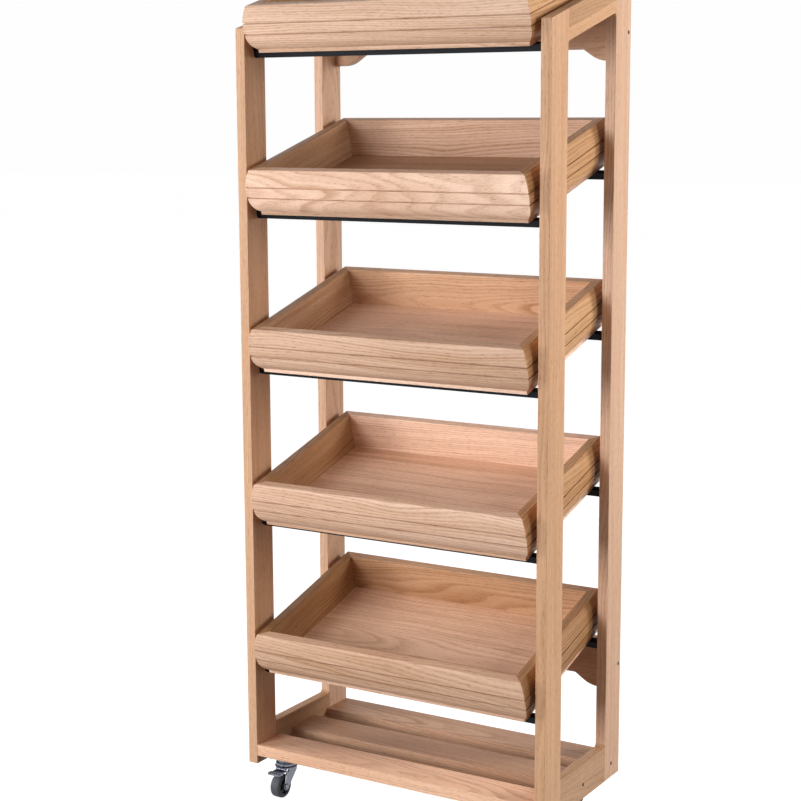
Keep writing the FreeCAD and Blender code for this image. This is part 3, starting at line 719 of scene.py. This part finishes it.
# %% The bottom slats
SLAT_GROWTH = 4 * MM
for name, pith, tone, grown in (("front_slat", (15, 60), 1.1, (0, 1)),
                                ("middle_slat", (70, 50), -0.3, (1, 1)),
                                ("rear_slat", (20, 75), -0.4, (1, 0))):
    low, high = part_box(name)
    low.y -= grown[0] * SLAT_GROWTH
    high.y += grown[1] * SLAT_GROWTH
    bm = block(low, high)
    ease(bm, bm.edges[:], 1.0 * MM)
    slat = finish_piece(bm, "oak_" + name, "frame", OAK_SLAT, [name])
    lay_grain(slat, axes((1, 0, 0), (0, 1, 0), middle(name)), pith, 0.03, tone, 0.2)

# %% [markdown]
# ## Trays
#
# A tray wall is a moulding: a bowed outer face with two thin quirks and a rounder foot, a
# flat rim, and mitred ends. A cutter shapes it in one pass along the board, so its section
# is drawn once and extruded. The mitre needs no cutting: each end point is slid along the
# wall by how far it lies from the outer line.

# %% Sizes of the trays
WALL_HEIGHT = 96 * MM
WALL_THICK = 20 * MM
BULGE = 9 * MM
LIP = 8 * MM
LIP_INSET = 7 * MM
FLOOR_TOP = 18 * MM
QUIRKS = (62 * MM, 40 * MM)
QUIRK = 1.4 * MM
QUIRK_DEPTH = 1.5 * MM
FOOT_ROUND = 30 * MM
RIM_ROUND = 1.2 * MM
SKIN = 0.15 * MM
# painted shade on the tray walls, as a share of the dark oak colour: on the flat rim and in
# the quirk hollows
RIM_PAINTED_SHADE = 0.2
QUIRK_PAINTED_SHADE = 0.35
STAVE = 88 * MM
STAVE_SEAM = 33 * MM
MITRE_GAP = 0.06 * MM
BOW_HALF = (WALL_HEIGHT - LIP) / 2
BOW_MIDDLE = (WALL_HEIGHT + LIP) / 2
BOW = (BOW_HALF ** 2 + BULGE ** 2) / (2 * BULGE)
BOW_CENTRE = BOW - BULGE
TRAY_WIDTH = 616 * MM
TRAY_DEPTH = 367 * MM


def tray_frame(number):
    """The tilted frame of a tray, with its origin under the middle of its front rim."""
    low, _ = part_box(f"tray_{number}_floor")
    depth = low.y - LIP_INSET * math.cos(TILT) + LIP * math.sin(TILT)
    height = low.z - LIP_INSET * math.sin(TILT)
    return shift(0, depth, height) @ Matrix.Rotation(TILT, 4, "X")


print("bow radius of the walls:", round(BOW / MM, 1), "mm")


# %% The section of a wall
def bow_at(height):
    """Where the bowed face is at a height, counted into the wall."""
    return BOW_CENTRE - math.sqrt(BOW ** 2 - (height - BOW_MIDDLE) ** 2)


def bow_turn(start, end):
    """Degrees that the bowed face turns between two heights, downward."""
    angles = [math.degrees(math.asin((z - BOW_MIDDLE) / BOW)) for z in (start, end)]
    return angles[0] - angles[1]


def foot_turn():
    """The rounder turn that ends the face above the lip: its centre and degrees."""
    start = Vector((bow_at(FOOT_ROUND), FOOT_ROUND))
    chord = Vector((LIP_INSET - 0.8 * MM, LIP)) - start
    inward = (Vector((BOW_CENTRE, BOW_MIDDLE)) - start).normalized()
    half = math.pi / 2 - inward.angle(chord)
    centre = start + inward * chord.length / (2 * math.sin(half))
    return centre.x, centre.y, 2 * math.degrees(half)


def wall_section():
    """The moulding's outline: Y is into the wall and Z is up."""
    face_top = WALL_HEIGHT - RIM_ROUND
    moves = [
        (WALL_THICK, LIP),
        (WALL_THICK, face_top), (WALL_THICK - RIM_ROUND, face_top, 90),
        (1.6 * RIM_ROUND, WALL_HEIGHT),
        (0.7 * RIM_ROUND, WALL_HEIGHT - 0.2 * RIM_ROUND),
        (bow_at(face_top), face_top),
    ]
    height = face_top
    for quirk in QUIRKS:
        upper, lower = quirk + QUIRK, quirk - QUIRK
        bottom = bow_at(quirk) + QUIRK_DEPTH
        moves += [(BOW_CENTRE, BOW_MIDDLE, bow_turn(height, upper)),
                  (bow_at(upper) + SKIN, upper), (bottom, upper), (bottom, quirk, -180),
                  (bow_at(lower) + SKIN, lower), (bow_at(lower), lower)]
        height = lower
    moves += [(BOW_CENTRE, BOW_MIDDLE, bow_turn(height, FOOT_ROUND)), foot_turn()]
    return moves


def hollow(depth, height):
    """Whether a point of the section lies inside a quirk."""
    in_quirk = any(abs(height - quirk) < QUIRK + SKIN for quirk in QUIRKS)
    return in_quirk and bow_at(height) + SKIN / 2 < depth < WALL_THICK / 2


# %% Walls and floor of a tray
def tray_wall(number, name, length, place, grain):
    """One mitred wall."""
    bm = bmesh.new()
    bmesh.ops.edgeloop_fill(bm, edges=draw(bm, wall_section(), 3.5))
    thicken(bm, -length / 2, length / 2)
    # painted shade: the quirk hollows and the flat top of the rim take a share of the dark
    # colour
    stain = bm.verts.layers.float.new("stain")
    for vertex in bm.verts:
        on_rim = vertex.co.z > WALL_HEIGHT - 0.3 * RIM_ROUND
        vertex[stain] = (QUIRK_PAINTED_SHADE if hollow(vertex.co.y, vertex.co.z)
                         else RIM_PAINTED_SHADE if on_rim else 0.0)
        vertex.co.x = math.copysign(length / 2 - vertex.co.y - MITRE_GAP, vertex.co.x)
    bm.transform(place)
    node = f"tray_{number}_{name}"
    piece = finish_piece(bm, "oak_" + node, f"tray_{number}", OAK_TRAY, [node])
    way = place.to_3x3()
    board = axes(way @ Vector((1, 0, 0)), way @ Vector((0, 0, 1)),
                 place @ Vector((0, WALL_THICK / 2, WALL_HEIGHT / 2)))
    return lay_grain(piece, board, *grain)


def tray_floor(number, place, grain):
    """The solid floor: a raised middle inside the walls and a lip under them."""
    bm = block((LIP_INSET - TRAY_WIDTH / 2, LIP_INSET, 0),
               (TRAY_WIDTH / 2 - LIP_INSET, TRAY_DEPTH - LIP_INSET, LIP))
    top = [face for face in bm.faces if face.normal.z > 0.5]
    bmesh.ops.inset_region(bm, faces=top, thickness=WALL_THICK - LIP_INSET + 0.1 * MM,
                           use_even_offset=True)
    raised = bmesh.ops.extrude_face_region(bm, geom=top)
    bmesh.ops.translate(bm, vec=(0, 0, FLOOR_TOP - LIP), verts=only(BMVert, raised["geom"]))
    bmesh.ops.delete(bm, geom=top, context="FACES_ONLY")
    inside = TRAY_WIDTH / 2 - 15 * MM
    rim = [edge for edge in arrises(bm)
           if all(v.co.z < LIP + SKIN for v in edge.verts)
           and not all(abs(v.co.x) < inside for v in edge.verts)]
    ease(bm, rim, 1.1 * MM)
    bm.transform(place)
    node = f"tray_{number}_floor"
    piece = finish_piece(bm, "oak_" + node, f"tray_{number}", OAK_TRAY, [node])
    board = axes((1, 0, 0), place.to_3x3() @ Vector((0, 1, 0)),
                 place @ Vector((0, TRAY_DEPTH / 2, 0)))
    return lay_grain(piece, board, *grain, STAVE, STAVE_SEAM)


# %% [markdown]
# No two boards are alike. A flat-sawn board, with the pith close under its face, shows
# arches, and a quarter-sawn one, with the pith far to the side, shows straight lines. The
# table gives every board its pith, climb, tone and warmth, tray by tray from the top down.
# Some tones also hold painted shade: the left walls grow darker tray by tray downward, and
# tray 2's floor and tray 5's right wall are dark, where these boards lie in shade.

# %% The boards of the five trays
WALLS = (("front", TRAY_WIDTH, (0, 0, 0), 0),
         ("rear", TRAY_WIDTH, (0, TRAY_DEPTH, 0), 180),
         ("left", TRAY_DEPTH, (-TRAY_WIDTH / 2, TRAY_DEPTH / 2, 0), -90),
         ("right", TRAY_DEPTH, (TRAY_WIDTH / 2, TRAY_DEPTH / 2, 0), 90))

# the boards of a tray: front, rear, left, right and floor
# painted shade in the tones: the left walls darken from tray to tray downward, and tray 2's
# floor and tray 5's right wall are set dark
TRAY_BOARDS = (
    (((70, 55), 0.03, 0.2, 0.1), ((30, 60), 0.03, -0.2, 0.3), ((40, 60), 0.03, -0.3, 0.5),
     ((60, 60), 0.03, -0.3, 1.0), ((10, 90), 0.02, -0.1, 0.2)),
    (((8, 42), 0.05, 0.85, 0.0), ((65, 60), 0.02, 0.2, 0.05), ((60, 50), 0.02, -0.7, 0.5),
     ((20, 55), 0.03, -0.4, 1.0), ((30, 80), 0.02, -0.6, 0.2)),
    (((60, 50), 0.02, 0.15, 0.15), ((12, 55), 0.04, 0.1, 0.5), ((50, 60), 0.02, -0.85, 0.55),
     ((35, 60), 0.02, -0.4, 1.0), ((50, 90), 0.01, 0.85, 0.0)),
    (((75, 60), 0.02, 0.55, 0.05), ((80, 60), 0.02, 0.65, 0.0), ((45, 60), 0.02, -1.2, 0.85),
     ((30, 55), 0.02, -0.45, 1.0), ((60, 90), 0.01, 0.55, 0.1)),
    (((25, 50), 0.04, 0.2, 0.2), ((18, 60), 0.03, -0.5, 0.65), ((50, 60), 0.02, -1.5, 1.0),
     ((40, 50), 0.03, -1.0, 1.0), ((30, 90), 0.02, 0.55, 0.15)),
)
TRAYS = range(1, len(TRAY_BOARDS) + 1)

for number, (*wall_boards, floor_board) in zip(TRAYS, TRAY_BOARDS):
    home = tray_frame(number)
    for (name, length, spot, degrees), board in zip(WALLS, wall_boards):
        tray_wall(number, name, length, home @ shift(*spot) @ turn(degrees, "Z"), board)
    tray_floor(number, home, floor_board)
    print("tray", number, "at", [round(c, 3) for c in home.translation])

# %% [markdown]
# ## Steel angles
#
# Each tray lies on two steel angles. An angle is hot rolled, so its outer corner and its
# inner root are round, and a flat tab with rounded corners is welded across each end and
# screwed to the leg. One drawing gives the section and another the tab.

# %% The angles
ANGLE = 15 * MM
ANGLE_THICK = 2.5 * MM
TAB_THICK = 3 * MM
TAB_WIDTH = 18 * MM
TAB_RISE = 11 * MM
TAB_ROUND = 3 * MM
ANGLE_PLACES = {"front": 27 * MM, "rear": 312 * MM}


def angle_bar(near):
    """The L section from tab to tab."""
    root = 1.2 * MM
    corner = 2.4 * MM
    inner = near + ANGLE_THICK
    bm = plate([
        (near, -ANGLE), (inner, -ANGLE), (inner, -ANGLE_THICK - root),
        (inner + root, -ANGLE_THICK - root, -90),
        (near + ANGLE, -ANGLE_THICK), (near + ANGLE, 0), (near + corner, 0),
        (near + corner, -corner, 90),
    ], TAB_THICK - INNER_FACE, INNER_FACE - TAB_THICK, 22.5)
    ease(bm, arrises(bm, 60), 0.35 * MM)
    return bm


def angle_tab(near):
    """A screwed end tab with rounded corners."""
    left, right = near + TAB_ROUND, near + TAB_WIDTH - TAB_ROUND
    low, high = TAB_ROUND - ANGLE, TAB_RISE - TAB_ROUND
    bm = plate([
        (left, -ANGLE), (right, -ANGLE), (right, low, 90),
        (near + TAB_WIDTH, high), (right, high, 90),
        (left, TAB_RISE), (left, high, 90),
        (near, low), (left, low, 90),
    ], 0, TAB_THICK, 15)
    ease(bm, arrises(bm, 60), 0.4 * MM)
    return bm


for number in TRAYS:
    bars = bmesh.new()
    for near in ANGLE_PLACES.values():
        stamp(bars, angle_bar(near))
        for start in (-INNER_FACE, INNER_FACE - TAB_THICK):
            stamp(bars, angle_tab(near), shift(start, 0, 0))
    bars.transform(tray_frame(number))
    node = f"tray_{number}_angles"
    finish_piece(bars, "steel_" + node, "frame", BLACK_STEEL, [node])
print("angles:", len(ANGLE_PLACES) * len(TRAYS))

# %% [markdown]
# ## Screws
#
# The long screws have black cylinder heads with a hexagon socket, sunk flush in their
# seats. The small zinc screws in the tabs and castor plates have domed heads with a cross
# recess. One head of each kind is turned and cut, and then stamped wherever a screw goes.

# %% The two kinds of head
def cap_head():
    """A cylinder head along +X with a hexagon socket, its top at X = 0."""
    head = pillar(4 * MM, -3 * MM, 0)
    ease(head, arrises(head), 0.35 * MM)
    return cut(head, pillar(1.75 * MM, -1.8 * MM, MM, 6))


def pan_head():
    """A domed head along +X with a cross recess, its seat at X = 0."""
    bm = pillar(4 * MM, 0, 2.5 * MM, 24)
    top = [e for e in arrises(bm) if min(v.co.x for v in e.verts) > 2 * MM]
    ease(bm, top, 1.5 * MM, 4)
    wing, arm = 0.45 * MM, 2 * MM
    quarter = [(wing, wing), (wing, arm), (-wing, arm)]
    cross = []
    for _ in range(4):
        cross += quarter
        quarter = [(-z, y) for y, z in quarter]
    return cut(bm, plate(cross, 1.2 * MM, 4 * MM))


CAP_HEAD = cap_head()
PAN_HEAD = pan_head()
print("faces of a head:", len(CAP_HEAD.faces), "and", len(PAN_HEAD.faces))

# %% Set the screws
def facing(side):
    """Leave what points to +X as it is, or turn it to point to -X."""
    return turn(0 if side > 0 else 180, "Z")


caps = bmesh.new()
for side in (-1, 1):
    for depth, height in SCREW_PLACES:
        spin = Matrix.Rotation(depth * 90 + height * 40, 4, "X")
        stamp(caps, CAP_HEAD,
              shift(side * OUTER_FACE, depth, height) @ facing(side) @ spin)
finish_piece(caps, "frame_cap_screws", "frame", BLACK_SCREW,
             ["frame_screws"])

pans = bmesh.new()
for number in TRAYS:
    for near in ANGLE_PLACES.values():
        for side in (-1, 1):
            seat = shift(side * (INNER_FACE - TAB_THICK), near + TAB_WIDTH / 2,
                         TAB_RISE / 2)
            spin = Matrix.Rotation(number + near * 50 + side, 4, "X")
            stamp(pans, PAN_HEAD, tray_frame(number) @ seat @ facing(-side) @ spin)
PLATE_HOLE = 23 * MM
PLATE_LOW = 83 * MM
CASTORS = [f"castor_{end}_{side}"
           for end in ("front", "rear") for side in ("left", "right")]
for name in CASTORS:
    centre = middle(name + "_plate")
    for across in (-PLATE_HOLE, PLATE_HOLE):
        for along in (-PLATE_HOLE, PLATE_HOLE):
            spot = shift(centre.x + across, centre.y + along, PLATE_LOW)
            stamp(pans, PAN_HEAD, spot @ turn(90, "Y"))
finish_piece(pans, "zinc_pan_screws", "frame", ZINC_STEEL,
             ["pan_head_screws"])

# %% [markdown]
# ## Castors
#
# A castor is pressed steel: a plate with a ball race, a fork that swivels under it, and a
# wheel on a bolt. Round parts are spun from half a section, as a lathe makes them. Each part
# is drawn about the swivel line and then moved to its castor. The front two also have a
# brake pedal, hinged on a pin through the fork.

# %% Turn a half section
def turned(section, axis="Z", steps=48):
    """Spin an open line of (radius, place) points about an axis, into a closed solid."""
    bm = bmesh.new()
    verts = [bm.verts.new((radius * MM, 0, place * MM)) for radius, place in section]
    edges = [bm.edges.new(pair) for pair in zip(verts, verts[1:])]
    bmesh.ops.spin(bm, geom=verts + edges, cent=(0, 0, 0), axis=(0, 0, 1), dvec=(0, 0, 0),
                   angle=math.tau, steps=steps, use_merge=True)
    bmesh.ops.remove_doubles(bm, verts=bm.verts, dist=1e-6)
    if axis == "X":
        bm.transform(turn(90, "Y"))
    bmesh.ops.recalc_face_normals(bm, faces=bm.faces)
    return bm


def uprights(bm):
    """The edges that stand on end."""
    return [e for e in bm.edges if abs(e.verts[0].co.z - e.verts[1].co.z) > MM]


TRAIL, AXLE = mm(-22, 25)
CHEEK, CHEEK_HALF = mm(14.25, 1.25)
PEDAL_PIVOT = mm(-14, 57)
PLATE_HALF, PLATE_TOP = mm(30, 86)


# %% The plate and its race
def castor_plate():
    """A rounded plate over a two-cup ball race, with the rivet head below."""
    bm = block((-PLATE_HALF, -PLATE_HALF, PLATE_LOW), (PLATE_HALF, PLATE_HALF, PLATE_TOP))
    ease(bm, uprights(bm), 5 * MM, 5)
    ease(bm, arrises(bm, 60), 0.5 * MM)
    race = ((0, 83), (21, 83), (22, 82), (22, 77.5), (20.8, 76), (19, 75.2), (19, 73.8),
            (20.8, 73), (22, 71.5), (22, 67), (21, 66), (0, 66))
    rivet = ((0, 66), (5, 66), (5, 62.5), (8, 62.5), (8, 61), (7, 60), (0, 60))
    for section in (race, rivet):
        stamp(bm, turned(section))
    return bm


# %% The fork
def castor_fork(braked):
    """A crown and two cheeks of pressed plate, with the axle bolt through them."""
    bm = turned(((5.05, 63), (5.05, 65.5), (23, 65.5), (24, 64.8), (24, 63.7), (23, 63),
                 (5.05, 63)))
    eye_round = 8
    slant = eye_round * math.sqrt(0.5)
    cheek = plate([mm(17, 65), mm(-17, 65), mm(-22 - eye_round, 25), (TRAIL, AXLE, 135),
                   mm(17, 25 + 22 + 17 - 2 * slant)], -CHEEK_HALF, CHEEK_HALF)
    ease(cheek, arrises(cheek, 50), 0.5 * MM)
    for place in (-CHEEK, CHEEK):
        stamp(bm, cheek, shift(place, 0, 0))
    axle = shift(0, TRAIL, AXLE)
    stamp(bm, turned(((0, -17), (4, -17), (4, 17), (0, 17)), "X", 24), axle)
    hexagon = pillar(6.4 * MM, 0, 2 * MM, 6)
    ease(hexagon, arrises(hexagon, 60), 0.4 * MM)
    washer = turned(((0, 0), (7.6, 0), (7.6, 0.5), (0, 0.5)), "X", 32)
    for side in (-1, 1):
        outside = axle @ shift(side * (CHEEK + CHEEK_HALF), 0, 0) @ facing(side)
        stamp(bm, washer, outside)
        stamp(bm, hexagon, outside @ shift(0.45 * MM, 0, 0))
    if braked:
        pin = turned(((0, -17.4), (2, -17.4), (2.5, -17), (2.5, 17), (2, 17.4), (0, 17.4)),
                     "X", 20)
        stamp(bm, pin, shift(0, *PEDAL_PIVOT))
    return bm


# %% The wheel
def wheel_part(side):
    """Turn a part of the wheel from the right half of its section."""
    left = [(radius, -place) for radius, place in side]
    return turned([*left, *reversed(side), left[0]], "X", 64)


def wheel_tread():
    """A solid rubber tyre with rounded shoulders."""
    return wheel_part(((17.2, 10.4), (18.2, 11), (21.5, 11), (23.2, 10.4), (24.3, 9),
                       (24.8, 7), (25, 4)))


def wheel_core():
    """The plastic centre: rim, dished web with ribs, and a hub with its bearing."""
    bm = wheel_part(((4.05, 11), (7.4, 11), (8, 10.4), (8.4, 6), (15.6, 6), (16, 10),
                     (16.6, 10.6), (17.2, 10.4)))
    for count in range(5):
        rib = block(mm(-9.2, 7.8, -0.8), mm(9.2, 16.2, 0.8))
        ease(rib, rib.edges[:], 0.3 * MM, 1)
        stamp(bm, rib, Matrix.Rotation(count * math.tau / 5, 4, "X"))
    return bm


# %% The pedal
def castor_pedal():
    """A pressed pedal: an eye on its pin, an arm with eased edges, a shoe under it and a
    ribbed tread.
    """
    half, thin = mm(12.5, 1.5)
    back, height = PEDAL_PIVOT
    arm, lip, heel, toe = mm(-35, -34.5, -40, -50)
    bm = plate([(arm, height - thin), (back, height - thin), (back, height + thin),
                (arm, height + thin)], -half, half)
    ease(bm, arrises(bm), 0.5 * MM)
    eye = turned(((2.6, -12.5), (4, -12.5), (4.5, -12), (4.5, 12), (4, 12.5), (2.6, 12.5),
                  (2.6, -12.5)), "X", 28)
    stamp(bm, eye, shift(0, back, height))
    tread = block((-16 * MM, toe, height - thin), (16 * MM, lip, height + thin))
    ease(tread, [e for e in uprights(tread) if e.verts[0].co.y < heel], 5 * MM, 5)
    ease(tread, arrises(tread, 60), 0.6 * MM)
    stamp(bm, tread)
    for count in range(4):
        near = (-47.5 + 3.2 * count) * MM
        rib = block((-12 * MM, near, height + MM),
                    (12 * MM, near + 1.2 * MM, height + 1.9 * MM))
        ease(rib, rib.edges[:], 0.3 * MM, 1)
        stamp(bm, rib)
    shoe = block((-half, -33.5 * MM, height - 4.5 * MM), (half, -29 * MM, height - MM))
    ease(shoe, shoe.edges[:], 0.5 * MM)
    stamp(bm, shoe)
    return bm


# %% Set the four castors
for name in CASTORS:
    centre = middle(name + "_plate")
    home = shift(centre.x, centre.y, 0)
    axle = home @ shift(0, TRAIL, AXLE)
    plate_node, fork, wheel, pedal = (f"{name}_{part}"
                                      for part in ("plate", "fork", "wheel", "pedal"))
    braked = "front" in name
    parts = [(castor_plate(), home, "plate_and_race", "frame", ZINC_STEEL, [plate_node]),
             (castor_fork(braked), home, "fork_and_bolt", fork, ZINC_STEEL, [fork]),
             (wheel_tread(), axle, "tread", wheel, GREY_TREAD, [wheel]),
             (wheel_core(), axle, "core", wheel, WHEEL_CORE, [])]
    if braked:
        parts.append((castor_pedal(), home, "pedal_plate", pedal, ZINC_STEEL, [pedal]))
    for bm, place, word, body, material, nodes in parts:
        bm.transform(place)
        finish_piece(bm, f"{name}_{word}", body, material, nodes)
    print(name, "at", round(centre.x, 3), round(centre.y, 3))

# %% [markdown]
# ## Dowels
#
# The dowels are hidden in the joints and already have their real shape, so they stay as the
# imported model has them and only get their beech.

# %% Finish what stays
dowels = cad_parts["frame_dowels"]
dowels.data.materials.clear()
dowels.data.materials.append(BEECH)

# %% [markdown]
# ## Floor, light and camera
#
# The rack stands on a pale floor in front of nothing. Floor and world look white to the
# camera and to glossy rays, but light the rack only softly. Of the four soft boxes about
# it, the two at the left and front left are the strongest, and the two at the right, one of
# them behind, draw the edges of the legs on the sides of the trays.

# %% Floor and world
def seen_directly(tree):
    """1 for rays from the camera, mirrors and glass."""
    path = add_node(tree, "LightPath").outputs
    glossy = calc(tree, "MAXIMUM", path["Is Glossy Ray"], path["Is Transmission Ray"])
    return calc(tree, "MAXIMUM", path["Is Camera Ray"], glossy)


WHITE = (1.0, 1.0, 1.0, 1.0)
bm = bmesh.new()
bmesh.ops.create_grid(bm, x_segments=1, y_segments=1, size=30)
floor = to_object(bm, "pale_floor")
floor_material, tree, shader = new_material(
    "pale_floor", base_color=(0.3, 0.295, 0.29, 1.0), roughness=0.9, specular_ior_level=0.0)
glow = add_node(tree, "Emission", {"Color": WHITE, "Strength": 0.96})
both = add_node(tree, "AddShader", {0: shader.outputs[0], 1: glow.outputs[0]})
bounce = add_node(tree, "BsdfDiffuse", {"Color": (0.16, 0.155, 0.15, 1.0)})
pick = add_node(tree, "MixShader", {0: seen_directly(tree), 1: bounce.outputs[0],
                                    2: both.outputs[0]})
tree.links.new(pick.outputs[0], tree.nodes["Material Output"].inputs["Surface"])
floor.data.materials.append(floor_material)

world = bpy.data.worlds.new("soft_daylight")
scene.world = world
world.use_nodes = True
tree = world.node_tree
background = tree.nodes["Background"]
background.inputs["Color"].default_value = WHITE
level = add_node(tree, "Mix", {0: seen_directly(tree), 2: 0.12, 3: 0.99}, data_type="FLOAT")
tree.links.new(level.outputs[0], background.inputs["Strength"])


# %% Lamps
def soft_lamp(name, place, target, width, height, power, colour):
    """A rectangular soft box that looks at a target."""
    lamp = bpy.data.lights.new(name, "AREA")
    lamp.shape = "RECTANGLE"
    lamp.size = width
    lamp.size_y = height
    lamp.energy = power
    lamp.color = colour
    holder = bpy.data.objects.new(name, lamp)
    holder.location = place
    aim = Vector(target) - Vector(place)
    holder.rotation_euler = aim.to_track_quat("-Z", "Y").to_euler()
    scene.collection.objects.link(holder)


NEUTRAL = (1.0, 0.99, 0.98)
WARM = (1.0, 0.97, 0.92)
soft_lamp("left_box", (-3.6, -1.2, 1.3), (0, 0, 0.9), 1.4, 1.8, 118, NEUTRAL)
soft_lamp("front_left_box", (-1.6, -3.9, 1.4), (0, 0, 0.9), 1.6, 1.6, 119, NEUTRAL)
soft_lamp("right_box", (3.2, -0.3, 1.8), (0, 0, 1.0), 1.2, 1.2, 34, WARM)
soft_lamp("right_back_box", (3.1, 1.5, 1.9), (0, 0, 0.9), 1.2, 1.5, 75, WARM)

# %% [markdown]
# The camera stands at the front right, at the height of the top tray, and looks slightly
# down. Its place is in metres, its aim is three angles, and a long lens keeps the uprights
# nearly parallel.

# %% Camera
YAW = 0.542
PITCH = -0.16431
ROLL = -0.00426
EYE = Vector((1.7587, -3.0363, 1.4357))
LENS = 78.42
forward = Vector((-math.sin(YAW) * math.cos(PITCH), math.cos(YAW) * math.cos(PITCH),
                  math.sin(PITCH)))
level_right = Vector((math.cos(YAW), math.sin(YAW), 0))
level_up = level_right.cross(forward)
right = math.cos(ROLL) * level_right + math.sin(ROLL) * level_up
up = math.cos(ROLL) * level_up - math.sin(ROLL) * level_right
camera = bpy.data.objects.new("camera", bpy.data.cameras.new("camera"))
camera.data.lens = LENS
camera.data.sensor_width = 36
turned_camera = Matrix((right, up, -forward)).transposed().to_4x4()
camera.matrix_world = Matrix.Translation(EYE) @ turned_camera
scene.collection.objects.link(camera)
scene.camera = camera
scene.view_settings.view_transform = "Standard"

# %% [markdown]
# ## Close
#

# %% Update the view layer
bpy.context.view_layer.update()
